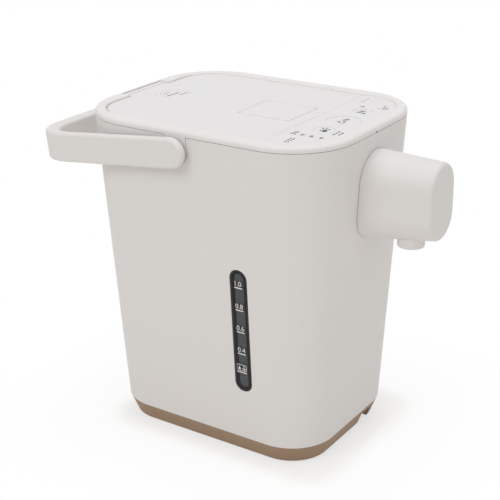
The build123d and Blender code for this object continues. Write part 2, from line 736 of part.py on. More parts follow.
def board_posts():
    posts = [disc(BOARD_POST_R, x, y, WELL_Z - WALL, CONTROL_BOARD_Z) for x, y in board_places()]
    return Compound(children=posts)


def tab_space(margin):
    """Space of both flaps that carry the handle, round about the pivot."""
    half = TAB_WIDTH / 2 + margin
    space = block((-BODY_TOP_WIDTH, BODY_TOP_WIDTH), (PIVOT_Y - half, PIVOT_Y + half), (PIVOT_Z, RIM_SEAM_Z))
    return space + cross_rod(half, BODY_TOP_WIDTH, PIVOT_Y, PIVOT_Z)


def handle_tabs():
    """Flaps of the rim that hang down the sides and carry the handle's pins."""
    low = PIVOT_Z - TAB_WIDTH
    wall = housing_block(low, RIM_SEAM_Z) - housing_block(low, RIM_SEAM_Z, WALL)
    tabs = wall & tab_space(0)
    inner = WELL_WIDTH / 2 + WALL / 2
    outer = housing_half(PIVOT_Z)[0] - WALL / 2
    for side in (-1, 1):
        tabs += rod(HANDLE_BOSS_R, (side * inner, PIVOT_Y, PIVOT_Z), (side * outer, PIVOT_Y, PIVOT_Z))
        tabs -= rod(
            HANDLE_PIN_R + FIT,
            (side * (inner + WALL / 2), PIVOT_Y, PIVOT_Z),
            (side * BODY_TOP_WIDTH, PIVOT_Y, PIVOT_Z),
        )
    return tabs


def hinge_lugs():
    half = HINGE_HALF + HINGE_LUG
    back = housing_half(RIM_SEAM_Z)[1] - WALL - SEAM
    low = HINGE_Z - KNUCKLE_R - SEAM - WALL
    return block((-half, half), (WELL_LENGTH / 2 + WALL / 2, back), (low, RIM_SEAM_Z))


def hinge_notch():
    half = HINGE_HALF + SEAM
    return block(
        (-half, half),
        (WELL_LENGTH / 2 - WALL, HINGE_Y + KNUCKLE_R + SEAM),
        (HINGE_Z - KNUCKLE_R - SEAM, TOP_Z),
    )


def strike_recess():
    """Pocket of the cross wall that the latch's nose faces."""
    half = HOOK_HALF + SEAM
    return block(
        (-half, half), (PANEL_BACK - STRIKE_DEPTH, PANEL_BACK), (HOOK_NOSE_LOW - 1, HOOK_NOSE_HIGH + 1)
    )


def key_places():
    return {
        "unlock_key": (-KEY_PITCH, SMALL_KEY_R),
        "dispense_key": (0, DISPENSE_KEY_R),
        "temperature_key": (KEY_PITCH, SMALL_KEY_R),
    }


def lamp_places():
    return [(LAMP_X, LAMP_FIRST_Y - row * LAMP_PITCH) for row in range(LAMP_COUNT)]


def control_panel():
    plate = well_block(PANEL_Z, PLATE_Z, LID_GAP)
    plate &= block((-WELL_WIDTH, WELL_WIDTH), (-WELL_LENGTH, PANEL_BACK), (PANEL_Z, PLATE_Z))
    plate = fillet(plate.faces().sort_by(Axis.Z)[-1].edges(), PANEL_EDGE)
    for x, radius in key_places().values():
        plate -= disc(radius + KEY_GAP, x, KEY_ROW_Y, PANEL_Z, PLATE_Z)
    for x, y in lamp_places():
        plate -= disc(LAMP_R + FIT, x, y, PANEL_Z, PLATE_Z)
    return plate


def key(name):
    """Round key: its cap fills the panel's hole and its flange stays under the panel."""
    x, radius = key_places()[name]
    flange_top = PANEL_Z - FIT
    cap = disc(radius, x, KEY_ROW_Y, flange_top - KEY_FLANGE, PLATE_Z)
    cap = fillet(cap.faces().sort_by(Axis.Z)[-1].edges(), PANEL_EDGE)
    cap += disc(radius + KEY_FLANGE, x, KEY_ROW_Y, flange_top - KEY_FLANGE, flange_top)
    stem_end = SWITCH_TOP + KEY_TRAVEL + 2 * FIT
    return cap + disc(KEY_STEM_R, x, KEY_ROW_Y, stem_end, flange_top - KEY_FLANGE)


def indicator_lamps():
    low = CONTROL_BOARD_Z + BOARD_THICK + CHIP_HEIGHT + SEAM
    return Compound(children=[disc(LAMP_R, x, y, low, PLATE_Z) for x, y in lamp_places()])


def control_board():
    half_y = CONTROL_BOARD_DEPTH / 2
    board = block(
        (-CONTROL_BOARD_HALF, CONTROL_BOARD_HALF),
        (KEY_ROW_Y - half_y, KEY_ROW_Y + half_y),
        (CONTROL_BOARD_Z, CONTROL_BOARD_Z + BOARD_THICK),
    )
    for x, y in board_places():
        board -= disc(SCREW_R, x, y, CONTROL_BOARD_Z, SWITCH_TOP)
    return board


def board_switches():
    """Push switches under the keys and the lamps' chips."""
    low = CONTROL_BOARD_Z + BOARD_THICK
    half = SWITCH_SIZE / 2
    parts = []
    span_y = (KEY_ROW_Y - half, KEY_ROW_Y + half)
    for x, _ in key_places().values():
        case = block((x - half, x + half), span_y, (low, low + SWITCH_HEIGHT / 2))
        parts.append(case + disc(half / 2, x, KEY_ROW_Y, low, SWITCH_TOP))
    for x, y in lamp_places():
        chip = CHIP_SIZE / 2
        parts.append(block((x - chip, x + chip), (y - chip, y + chip), (low, low + CHIP_HEIGHT)))
    return Compound(children=parts)


def inner_vessel():
    outer = disc(VESSEL_OUTER_R, 0, VESSEL_Y, VESSEL_FLOOR_Z, VESSEL_TOP_Z)
    outer = fillet(outer.faces().sort_by(Axis.Z)[0].edges(), VESSEL_CORNER)
    bore = disc(VESSEL_BORE_R, 0, VESSEL_Y, VESSEL_FLOOR_Z + VESSEL_WALL, VESSEL_TOP_Z)
    bore = fillet(bore.faces().sort_by(Axis.Z)[0].edges(), VESSEL_CORNER - VESSEL_WALL)
    flange_r = VESSEL_OUTER_R + VESSEL_FLANGE
    vessel = outer + disc(flange_r, 0, VESSEL_Y, VESSEL_TOP_Z - VESSEL_WALL, VESSEL_TOP_Z) - bore
    for x, y in PORTS:
        vessel += disc(SPIGOT_R, x, y, PORT_BOTTOM_Z, VESSEL_FLOOR_Z + VESSEL_WALL / 2)
        vessel -= disc(SPIGOT_BORE_R, x, y, PORT_BOTTOM_Z, VESSEL_FLOOR_Z + VESSEL_WALL)
    return vessel


def vessel_gasket():
    return ring(VESSEL_OUTER_R + VESSEL_FLANGE, MOUTH_R + SEAM, VESSEL_TOP_Z, VESSEL_TOP_Z + GASKET_THICK)


def insulating_jacket():
    inner = VESSEL_OUTER_R + SOFT_GAP
    return ring(inner + JACKET_THICK, inner, VESSEL_FLOOR_Z + JACKET_START, VESSEL_TOP_Z - JACKET_END)


def heater_plate():
    plate = disc(HEATER_R, 0, VESSEL_Y, HEATER_Z, VESSEL_FLOOR_Z)
    for x, y in PORTS:
        plate -= disc(HOSE_R + SOFT_GAP, x, y, HEATER_Z, VESSEL_FLOOR_Z)
    return plate - disc(SENSOR_R + SOFT_GAP, SENSOR_X, SENSOR_Y, HEATER_Z, VESSEL_FLOOR_Z)


def temperature_sensor():
    can = disc(SENSOR_R, SENSOR_X, SENSOR_Y, VESSEL_FLOOR_Z - SENSOR_LENGTH, VESSEL_FLOOR_Z)
    return can + disc(SENSOR_FLANGE_R, SENSOR_X, SENSOR_Y, HEATER_Z - SENSOR_FLANGE, HEATER_Z)


def thermal_fuse():
    """Round fuse held under the heater plate by a clip."""
    middle = HEATER_Z - FUSE_R - SOFT_GAP
    half = FUSE_LENGTH / 2
    fuse = rod(FUSE_R, (FUSE_X - half, FUSE_Y, middle), (FUSE_X + half, FUSE_Y, middle))
    clip = block(
        (FUSE_X - FUSE_CLIP / 2, FUSE_X + FUSE_CLIP / 2),
        (FUSE_Y - FUSE_CLIP, FUSE_Y + FUSE_CLIP),
        (middle, HEATER_Z),
    )
    return fuse + clip


def vessel_support():
    """Ring under the heater plate on legs that stand on the chassis plate."""
    low = HEATER_Z - SUPPORT_THICK
    support = ring(SUPPORT_OUTER_R, SUPPORT_INNER_R, low, HEATER_Z)
    middle = (SUPPORT_OUTER_R + SUPPORT_INNER_R) / 2
    half = SUPPORT_LEG / 2
    for angle in SUPPORT_ANGLES:
        leg = block((middle - half, middle + half), (-half, half), (DECK_Z, low))
        support += Pos(0, VESSEL_Y, 0) * Rot(0, 0, angle) * leg
    for x, y in PORTS:
        support -= disc(HOSE_R + SOFT_GAP, x, y, low, HEATER_Z)
    return support


def gauge_bezel():
    frame = gauge_slot(0, BEZEL_RECESS, BEZEL_DEPTH)
    frame += gauge_slot(-BEZEL_FLANGE, WALL + FIT, BEZEL_DEPTH)
    frame -= gauge_slot(BEZEL_WALL, 0, WINDOW_RECESS + WINDOW_THICK)
    return frame - gauge_slot(2 * BEZEL_WALL, 0, BEZEL_DEPTH)


def gauge_window():
    return gauge_slot(BEZEL_WALL + FIT, WINDOW_RECESS, WINDOW_RECESS + WINDOW_THICK)


def gauge_tube():
    half = TUBE_LENGTH / 2
    ends = (gauge_point(-half), gauge_point(half))
    return rod(TUBE_R, *ends) - rod(TUBE_BORE_R, *ends)


def gauge_carrier():
    """Dark channel behind the window that holds the glass tube."""
    height = TUBE_LENGTH - 2 * SEAL_GRIP - 2 * SEAM
    gap = TUBE_R + SEAM
    carrier = gauge_solid(Rectangle(CARRIER_WIDTH, height), BEZEL_DEPTH, BEZEL_DEPTH + CARRIER_DEPTH)
    carrier -= gauge_solid(Rectangle(2 * gap, height), BEZEL_DEPTH, TUBE_DEPTH)
    return carrier - rod(gap, gauge_point(-height / 2), gauge_point(height / 2))


def gauge_seals():
    """Soft sleeves on the tube's ends: the lower one takes the hose."""
    half = TUBE_LENGTH / 2
    seals = []
    for side in (-1, 1):
        inner, tip = side * (half - SEAL_GRIP), side * (half + SEAL_END)
        sleeve = rod(SEAL_R, gauge_point(inner), gauge_point(tip))
        sleeve -= rod(TUBE_R + FIT, gauge_point(inner), gauge_point(side * half))
        seals.append(sleeve - rod(SPIGOT_BORE_R, gauge_point(inner), gauge_point(tip)))
    return Compound(children=seals)


def gauge_hose():
    end = gauge_point(-TUBE_LENGTH / 2 - SEAL_END)
    turn_z = PORT_BOTTOM_Z - GAUGE_HOSE_BEND
    turn = gauge_point((turn_z - GAUGE_MID_Z) / math.cos(LEAN))
    start = (GAUGE_PORT_X, GAUGE_PORT_Y, VESSEL_FLOOR_Z - SEAM)
    route = [start, (GAUGE_PORT_X, GAUGE_PORT_Y, turn[2]), turn, end]
    return hose(route, GAUGE_HOSE_BEND, HOSE_R - SEAM, HOSE_BORE_R)


def pump_point(x, y, z):
    return (x, y, PUMP_Z + z)


def pump_rod(radius, start, end, x=0.0, z=0.0):
    return rod(radius, pump_point(x, start, z), pump_point(x, end, z))


def pump_housing():
    """Round housing: wet chamber in front, dry chamber for the drive magnet behind."""
    shell = pump_rod(PUMP_R, PUMP_FRONT_Y, MOTOR_Y)
    shell -= pump_rod(PUMP_CHAMBER_R, PUMP_FRONT_Y, PUMP_MID_Y)
    shell -= pump_rod(MAGNET_CHAMBER_R, PUMP_MID_Y + PUMP_WALL, MOTOR_Y)
    shell += pump_rod(IMPELLER_PIN_R, PUMP_MID_Y - IMPELLER_LENGTH, PUMP_MID_Y)
    half = PUMP_CHAMBER_R
    saddle = block((-half, half), (PUMP_FRONT_Y, MOTOR_Y), (DECK_Z, PUMP_Z)) - pump_rod(
        PUMP_CHAMBER_R + WALL / 2, PUMP_FRONT_Y, MOTOR_Y
    )
    return shell + saddle


def pump_cover():
    back, front = PUMP_FRONT_Y, PUMP_FRONT_Y - PUMP_COVER
    tip = front - SPIGOT_LENGTH
    cover = pump_rod(PUMP_R, back, front)
    cover += pump_rod(SPIGOT_R, front, tip) + pump_rod(SPIGOT_R, front, tip, OUTLET_X, OUTLET_RISE)
    cover -= pump_rod(SPIGOT_BORE_R, back, tip)
    return cover - pump_rod(SPIGOT_BORE_R, back, tip, OUTLET_X, OUTLET_RISE)


def impeller():
    back = PUMP_MID_Y - SEAM - FIT
    wheel = pump_rod(IMPELLER_R, back - IMPELLER_DISC, back)
    front = back - IMPELLER_LENGTH
    for turn in range(IMPELLER_VANES):
        vane = block((-VANE_THICK / 2, VANE_THICK / 2), (front, back), (IMPELLER_HUB_R - 1, IMPELLER_R - 1))
        wheel += Pos(0, 0, PUMP_Z) * Rot(0, turn * 360 / IMPELLER_VANES, 0) * vane
    wheel += pump_rod(IMPELLER_HUB_R, front, back)
    return wheel - pump_rod(IMPELLER_PIN_R + SHAFT_FIT, front, back)


def drive_rotor():
    """Motor shaft with the magnet that turns the impeller through the chamber's wall."""
    start = PUMP_MID_Y + PUMP_WALL + SEAM
    magnet = pump_rod(MAGNET_R, start, start + MAGNET_LENGTH)
    return magnet + pump_rod(SHAFT_R, start, MOTOR_Y + MOTOR_LENGTH + 1)


def pump_motor():
    can = pump_rod(MOTOR_R, MOTOR_Y, MOTOR_Y + MOTOR_LENGTH)
    return can - pump_rod(SHAFT_R + SHAFT_FIT, MOTOR_Y, MOTOR_Y + MOTOR_LENGTH)


def inlet_hose():
    end_y = PUMP_FRONT_Y - PUMP_COVER - SEAM
    route = [(0, PORT_Y, VESSEL_FLOOR_Z - SEAM), (0, PORT_Y, PUMP_Z), (0, end_y, PUMP_Z)]
    return hose(route, HOSE_BEND, HOSE_R, HOSE_BORE_R)


def outlet_pipe():
    """Hose from the pump's outlet to the front and up to the spill valve."""
    z = PUMP_Z + OUTLET_RISE
    start = PUMP_FRONT_Y - PUMP_COVER - SEAM
    route = [
        (OUTLET_X, start, z),
        (OUTLET_X, (start + RISER_Y) / 2, z),
        (0, RISER_Y, z),
        (0, RISER_Y, VALVE_BOTTOM_Z - SEAM),
    ]
    return hose(route, HOSE_BEND, HOSE_R, HOSE_BORE_R)


def spill_valve_body():
    """Valve with a loose ball that shuts the water way when the pot tips over."""
    low, high = VALVE_BOTTOM_Z, VALVE_TOP_Z
    body = disc(VALVE_R, 0, RISER_Y, low, high)
    body += disc(SPIGOT_R, 0, RISER_Y, low - SPIGOT_LENGTH, low)
    outlet = (0, RISER_Y, VALVE_OUTLET_Z)
    tip = (0, RISER_Y - VALVE_R - SPIGOT_LENGTH, VALVE_OUTLET_Z)
    body += rod(SPOUT_TUBE_BORE_R - FIT, outlet, tip)
    body -= disc(VALVE_R - VALVE_WALL, 0, RISER_Y, low + VALVE_WALL, high - VALVE_WALL)
    body -= disc(SPIGOT_BORE_R, 0, RISER_Y, low - SPIGOT_LENGTH, low + VALVE_WALL)
    return body - rod(SPIGOT_BORE_R, outlet, tip)


def seated_ball(radius, hole, y, seat_z):
    """Loose ball a little above the edge of the hole that it shuts."""
    sink = radius - math.sqrt(radius**2 - hole**2)
    return Pos(0, y, seat_z - sink + radius + SOFT_GAP) * Sphere(radius)


def spill_valve_ball():
    return seated_ball(VALVE_BALL_R, SPIGOT_BORE_R, RISER_Y, VALVE_BOTTOM_Z + VALVE_WALL)


def spout_tube():
    start = RISER_Y - VALVE_R - SEAM
    route = [(0, start, VALVE_OUTLET_Z), (0, NOZZLE_Y, VALVE_OUTLET_Z), (0, NOZZLE_Y, NOZZLE_SEAT)]
    return hose(route, SPOUT_TUBE_BEND, SPOUT_TUBE_R, SPOUT_TUBE_BORE_R)


def spout_cover():
    root = SPOUT_ROOT_Y + SPOUT_SINK
    outer = spout_block(root, SPOUT_END_Y)
    outer = fillet(outer.faces().sort_by(Axis.Y)[0].edges(), SPOUT_EDGE)
    cover = outer - spout_block(root, SPOUT_END_Y + SPOUT_WALL, SPOUT_WALL)
    for z, edge in ((SPOUT_SCREW_HIGH, SPOUT_ROOT_HIGH), (SPOUT_SCREW_LOW, SPOUT_ROOT_LOW)):
        tip_y = SPOUT_ROOT_Y - SPOUT_BOSS_LENGTH
        boss = rod(SPOUT_BOSS_R, (0, root, z), (0, tip_y, z))
        rib = block((-SPOUT_RIB / 2, SPOUT_RIB / 2), (tip_y, root), (min(z, edge), max(z, edge)))
        cover += (boss + rib) & outer
        cover -= rod(SCREW_R + FIT, (0, root, z), (0, tip_y + SPOUT_WALL, z))
    cover -= disc(NOZZLE_R + FIT, 0, NOZZLE_Y, NOZZLE_BOTTOM, NOZZLE_TOP)
    return cover - housing_block(SPOUT_ROOT_LOW - 2 * WALL, RIM_SEAM_Z, -SPOUT_SEAM)


def spout_bracket():
    """Plate inside the body shell that the spout's screws pull against."""
    low, high = SPOUT_SCREW_LOW - BRACKET_MARGIN, SPOUT_SCREW_HIGH - BRACKET_MARGIN / 2
    wall = housing_block(low, high, WALL) - housing_block(low, high, WALL + BRACKET_THICK)
    plate = wall & block((-BRACKET_HALF, BRACKET_HALF), (-BODY_TOP_DEPTH, BOARD_Y), (low, high))
    plate -= spout_opening()
    for z in (SPOUT_SCREW_LOW, SPOUT_SCREW_HIGH):
        plate -= rod(SCREW_R + FIT, (0, -BODY_TOP_DEPTH, z), (0, BOARD_Y, z))
    return plate


def spout_screws():
    screws = []
    for z in (SPOUT_SCREW_LOW, SPOUT_SCREW_HIGH):
        seat = -housing_half(z)[1] + WALL + BRACKET_THICK + SEAM
        screws.append(screw((0, seat, z), (0, SPOUT_ROOT_Y - SPOUT_BOSS_LENGTH / 2, z)))
    return Compound(children=screws)


def nozzle():
    body = disc(NOZZLE_R, 0, NOZZLE_Y, NOZZLE_BOTTOM, NOZZLE_TOP)
    body = fillet(body.faces().sort_by(Axis.Z)[0].edges(), NOZZLE_EDGE)
    body += disc(NOZZLE_FLANGE_R, 0, NOZZLE_Y, NOZZLE_TOP - NOZZLE_FLANGE, NOZZLE_TOP)
    body -= disc(SPOUT_TUBE_R + FIT, 0, NOZZLE_Y, NOZZLE_SEAT, NOZZLE_TOP)
    return body - disc(NOZZLE_BORE_R, 0, NOZZLE_Y, NOZZLE_BOTTOM, NOZZLE_TOP)


def power_board():
    """Upright board with a notch at its foot for the outlet pipe."""
    span = (BOARD_Y - BOARD_THICK, BOARD_Y)
    board = block((-POWER_BOARD_HALF, POWER_BOARD_HALF), span, (POWER_BOARD_LOW, POWER_BOARD_HIGH))
    return board - block((-PIPE_NOTCH_HALF, PIPE_NOTCH_HALF), span, (POWER_BOARD_LOW, PIPE_NOTCH_TOP))


def on_board(x, z, width, height, depth):
    face = BOARD_Y - BOARD_THICK
    return block((x - width / 2, x + width / 2), (face - depth, face), (z - height / 2, z + height / 2))


def board_components():
    """Transformer, relay, capacitor, connector and heat sink on the power board's front."""
    face = BOARD_Y - BOARD_THICK
    left, right = -POWER_BOARD_HALF, POWER_BOARD_HALF
    core_x = left + TRANSFORMER_INSET
    transformer = on_board(core_x, TRANSFORMER_Z, CORE_WIDTH, CORE_HEIGHT, CORE_DEPTH)
    transformer += on_board(core_x, TRANSFORMER_Z, WINDING_WIDTH, WINDING_HEIGHT, WINDING_DEPTH)
    relay = on_board(right - RELAY_INSET, RELAY_Z, RELAY_WIDTH, RELAY_HEIGHT, RELAY_DEPTH)
    can_x = right - CAPACITOR_INSET
    capacitor = rod(CAPACITOR_R, (can_x, face, CAPACITOR_Z), (can_x, face - CAPACITOR_LENGTH, CAPACITOR_Z))
    connector = on_board(
        left + CONNECTOR_INSET, CONNECTOR_Z, CONNECTOR_WIDTH, CONNECTOR_HEIGHT, CONNECTOR_DEPTH
    )
    sink_x = right - SINK_INSET
    heat_sink = on_board(sink_x, SINK_Z, SINK_WIDTH, SINK_HEIGHT, SINK_FIN)
    pitch = (SINK_WIDTH - SINK_FIN) / (SINK_FINS - 1)
    for fin in range(SINK_FINS):
        fin_x = sink_x - (SINK_WIDTH - SINK_FIN) / 2 + fin * pitch
        heat_sink += on_board(fin_x, SINK_Z, SINK_FIN, SINK_HEIGHT, SINK_DEPTH)
    return Compound(children=[transformer, relay, capacitor, connector, heat_sink])


def inlet_solid(inset, front, back, corner=INLET_CORNER):
    sketch = RectangleRounded(INLET_WIDTH - 2 * inset, INLET_HEIGHT - 2 * inset, corner)
    return extrude(Plane.XZ.offset(-back) * Pos(0, INLET_Z, 0) * sketch, back - front)


def inlet_face():
    return housing_half(INLET_Z)[1] - INLET_RECESS


def power_inlet():
    face = inlet_face()
    lean = INLET_HEIGHT * math.tan(LEAN)
    flange_back = housing_half(INLET_Z)[1] - WALL - lean
    body = inlet_solid(FIT, face - INLET_DEPTH, face)
    body += inlet_solid(-INLET_FLANGE, flange_back - WALL, flange_back)
    return body - inlet_solid(INLET_WALL, face - INLET_HOLLOW, face, INLET_CORNER - 1)


def inlet_pins():
    floor = inlet_face() - INLET_HOLLOW
    pins = []
    for side in (-1, 1):
        x = side * PIN_PITCH / 2
        pins.append(rod(PIN_R, (x, floor, INLET_Z), (x, floor + PIN_LENGTH, INLET_Z)))
        half = MAGNET_PLATE / 2
        plate_x = side * (INLET_WIDTH / 2 - INLET_WALL - half - SEAM)
        span_z = (INLET_Z - MAGNET_PLATE, INLET_Z + MAGNET_PLATE)
        pins.append(block((plate_x - half, plate_x + half), (floor, floor + WALL), span_z))
    return Compound(children=pins)


def handle_pose():
    """Handle's own frame: the pivot at its origin and the arms along its tilted Y axis."""
    return Pos(0, PIVOT_Y, PIVOT_Z) * Rot(-HANDLE_TILT, 0, 0)


def bail_block(half_width, reach, corner):
    return extrude(RectangleRounded(2 * half_width, 2 * reach, corner), ARM_HEIGHT / 2, both=True)


def handle():
    """Bail with flat arms, round at the pivots, and a deep grip across the rear."""
    half = ARM_HEIGHT / 2
    bail = bail_block(HANDLE_OUTER_HALF, HANDLE_REACH, HANDLE_CORNER)
    bail -= bail_block(HANDLE_INNER_HALF, HANDLE_REACH - GRIP_THICK, HANDLE_CORNER - ARM_THICK)
    reach = block((-HANDLE_OUTER_HALF, HANDLE_OUTER_HALF), (0, HANDLE_REACH), (-half, half))
    bail &= reach + cross_rod(half, HANDLE_OUTER_HALF, 0, 0)
    rims = [
        edge
        for edge in bail.edges()
        if edge.length > ARM_THICK + FIT and abs((edge % 0.5).Z) < 0.9 or edge.geom_type == GeomType.CIRCLE
    ]
    bail = fillet(rims, HANDLE_EDGE)
    for side in (-1, 1):
        bore_end = side * (HANDLE_INNER_HALF + HANDLE_PIN_DEPTH + SOFT_GAP)
        bail -= rod(HANDLE_PIN_R + SHAFT_FIT, (0, 0, 0), (bore_end, 0, 0))
    return handle_pose() * bail


def handle_pins():
    start = WELL_WIDTH / 2 + WALL
    tip = HANDLE_INNER_HALF + HANDLE_PIN_DEPTH
    pins = []
    for side in (-1, 1):
        pins.append(rod(HANDLE_PIN_R, (side * start, PIVOT_Y, PIVOT_Z), (side * tip, PIVOT_Y, PIVOT_Z)))
    return Compound(children=pins)


def hinge_tongue():
    """Lid's rear tongue with the knuckle on the hinge pin and a raised strip above it."""
    width = (-HINGE_HALF, HINGE_HALF)
    tongue = block(width, (LID_REAR - LID_WALL, HINGE_Y), (PLATE_Z - TONGUE_THICK, PLATE_Z))
    tongue += block(width, (HINGE_Y - STRIP_WIDTH, HINGE_Y), (HINGE_Z, HINGE_Z + KNUCKLE_R))
    return tongue + cross_rod(KNUCKLE_R, HINGE_HALF, HINGE_Y, HINGE_Z)


def lever_opening():
    """Opening of the lid's top plate, wider than the lever on every side."""
    half = LEVER_HALF + LEVER_GAP
    front, back = LEVER_FRONT - LEVER_GAP, LEVER_PIVOT_Y + LEVER_KNUCKLE_R + LEVER_GAP
    return block((-half, half), (front, back), (LID_UNDER, TOP_Z))


def lid_lugs():
    """Lugs under the top plate for the lever's pin and the latch's pin."""
    low = HOOK_PIVOT_Z - HOOK_BOSS_R
    lugs = []
    for side in (-1, 1):
        inner = side * (LEVER_HALF + LEVER_GAP)
        outer = side * (LEVER_HALF + LEVER_GAP + LEVER_LUG_WIDTH)
        y_span = (LEVER_PIVOT_Y - LEVER_KNUCKLE_R, LEVER_PIVOT_Y + LEVER_KNUCKLE_R)
        z_span = (LEVER_PIVOT_Z - LEVER_KNUCKLE_R, LID_UNDER)
        lugs.append(block((min(inner, outer), max(inner, outer)), y_span, z_span))
        inner = side * (HOOK_HALF + SEAM)
        outer = side * (HOOK_HALF + SEAM + HOOK_LUG)
        y_span = (HOOK_PIVOT_Y - HOOK_BOSS_R, HOOK_PIVOT_Y + HOOK_BOSS_R)
        lugs.append(block((min(inner, outer), max(inner, outer)), y_span, (low, LID_UNDER)))
    return lugs


def lid_cover():
    top = fillet(lid_block(LID_UNDER, PLATE_Z).faces().sort_by(Axis.Z)[-1].edges(), LID_EDGE)
    skirt = lid_block(LID_SKIRT_Z, LID_UNDER, LID_SETBACK)
    skirt -= lid_block(LID_SKIRT_Z, LID_UNDER, LID_SETBACK + LID_WALL)
    cover = top + skirt + hinge_tongue() - lever_opening()
    for lug in lid_lugs():
        cover += lug
    for x, y in lid_screw_places():
        cover += disc(BOSS_R, x, y, LID_SKIRT_Z, LID_UNDER)
        cover -= disc(SCREW_R, x, y, LID_SKIRT_Z, LID_UNDER - WALL)
    cover -= hook_window()
    cover -= disc(VENT_R + FIT, 0, VENT_Y, PLATE_Z - VENT_DISH, TOP_Z)
    cover -= disc(VENT_HOLE_R, 0, CHAMBER_Y, LID_UNDER, TOP_Z)
    cover -= cross_rod(HINGE_PIN_R + SHAFT_FIT, HINGE_HALF, HINGE_Y, HINGE_Z)
    cover -= cross_rod(LEVER_PIN_R, LEVER_HALF + LEVER_LUG_WIDTH, LEVER_PIVOT_Y, LEVER_PIVOT_Z)
    return cover - cross_rod(LATCH_PIN_R, HOOK_HALF + SEAM + HOOK_LUG, HOOK_PIVOT_Y, HOOK_PIVOT_Z)


def hook_window():
    """Opening of the lid's front wall for the latch's nose."""
    half = HOOK_HALF + SEAM
    front = LID_FRONT
    return block((-half, half), (front, HOOK_PIVOT_Y), (LID_SKIRT_Z, HOOK_PIVOT_Z + HOOK_BOSS_R + 1))


def lid_base():
    plate = lid_block(LID_BASE_Z, LID_SKIRT_Z, LID_SETBACK)
    collar_low = LID_BASE_Z - LID_COLLAR_DROP
    plate += ring(LID_COLLAR_R, LID_COLLAR_R - LID_COLLAR_WALL, collar_low, LID_BASE_Z)
    plate -= disc(STEAM_HOLE_R, 0, CHAMBER_Y, LID_BASE_Z, LID_SKIRT_Z)
    for x, y in lid_screw_places():
        plate -= disc(SCREW_R + FIT, x, y, LID_BASE_Z, LID_SKIRT_Z)
        plate -= disc(SCREW_HEAD_R + FIT, x, y, LID_BASE_Z, LID_BASE_Z + SCREW_HEAD)
    half = HOOK_HALF + SEAM
    return plate - block((-half, half), (LID_FRONT, HOOK_PIVOT_Y + SEAM), (LID_BASE_Z, LID_SKIRT_Z))


def lid_screws():
    seat = LID_BASE_Z + SCREW_HEAD
    screws = [screw((x, y, seat), (x, y, LID_SKIRT_Z + LEDGE)) for x, y in lid_screw_places()]
    return Compound(children=screws)


def inner_lid():
    """Metal dish pressed over the lid base's collar: it closes the vessel's mouth."""
    dish = disc(INNER_LID_R, 0, VESSEL_Y, INNER_LID_Z, LID_BASE_Z)
    dish = fillet(dish.faces().sort_by(Axis.Z)[0].edges(), INNER_LID_CORNER)
    hollow = disc(INNER_LID_R - INNER_LID_WALL, 0, VESSEL_Y, INNER_LID_Z + INNER_LID_WALL, LID_BASE_Z)
    hollow = fillet(hollow.faces().sort_by(Axis.Z)[0].edges(), INNER_LID_CORNER - INNER_LID_WALL)
    return dish - hollow - disc(STEAM_HOLE_R, 0, CHAMBER_Y, INNER_LID_Z, INNER_LID_Z + INNER_LID_WALL)


def lid_gasket():
    return ring(LID_GASKET_OUTER, LID_GASKET_INNER, WELL_Z + MOUTH_LIP + SOFT_GAP, LID_BASE_Z)


def lid_hinge_pin():
    return cross_rod(HINGE_PIN_R, HINGE_HALF + HINGE_LUG - 1, HINGE_Y, HINGE_Z)


def steam_cap():
    """Round cap in the lid's dish with a rim and three short slots."""
    cap = disc(VENT_R, 0, VENT_Y, PLATE_Z - VENT_DISH, PLATE_Z + SEAM)
    cap = fillet(cap.faces().sort_by(Axis.Z)[-1].edges(), SEAM)
    cap -= disc(VENT_R - VENT_RIM, 0, VENT_Y, PLATE_Z, TOP_Z)
    for row in (-1, 0, 1):
        y = VENT_Y + row * CAP_SLOT_PITCH
        cap -= block(
            (-CAP_SLOT / 2, CAP_SLOT / 2),
            (y - CAP_SLOT_WIDTH / 2, y + CAP_SLOT_WIDTH / 2),
            (PLATE_Z - VENT_DISH, TOP_Z),
        )
    return cap


def steam_chamber():
    """Tube between the lid's plates with the seat of the loose ball."""
    tube = ring(CHAMBER_R, CHAMBER_R - CHAMBER_WALL, LID_SKIRT_Z, LID_UNDER, 0, CHAMBER_Y)
    return tube + ring(CHAMBER_R, STEAM_HOLE_R, STEAM_SEAT_Z - CHAMBER_WALL, STEAM_SEAT_Z, 0, CHAMBER_Y)


def steam_ball():
    return seated_ball(STEAM_BALL_R, STEAM_HOLE_R, CHAMBER_Y, STEAM_SEAT_Z)


def lid_lever():
    """Flat lever with a knuckle at its rear and a round cross bar under the latch's arms."""
    plate = block(
        (-LEVER_HALF, LEVER_HALF), (LEVER_FRONT, LEVER_PIVOT_Y), (PLATE_Z - LEVER_THICK, PLATE_Z)
    )
    plate = fillet(plate.edges().filter_by(Axis.Z).group_by(Axis.Y)[0], LEVER_CORNER)
    plate += cross_rod(LEVER_KNUCKLE_R, LEVER_HALF, LEVER_PIVOT_Y, LEVER_PIVOT_Z)
    bar_z = HOOK_PIVOT_Z - 1 - SOFT_GAP - LIFTER_BAR_R
    bar_y = (LIFTER_Y - LIFTER_BAR_R, LIFTER_Y + LIFTER_BAR_R)
    plate += block((-LIFTER_HALF, LIFTER_HALF), bar_y, (bar_z, PLATE_Z - LEVER_THICK / 2))
    plate += cross_rod(LIFTER_BAR_R, HOOK_HALF - 1, LIFTER_Y, bar_z)
    return plate - cross_rod(LEVER_PIN_R + SHAFT_FIT, LEVER_HALF, LEVER_PIVOT_Y, LEVER_PIVOT_Z)


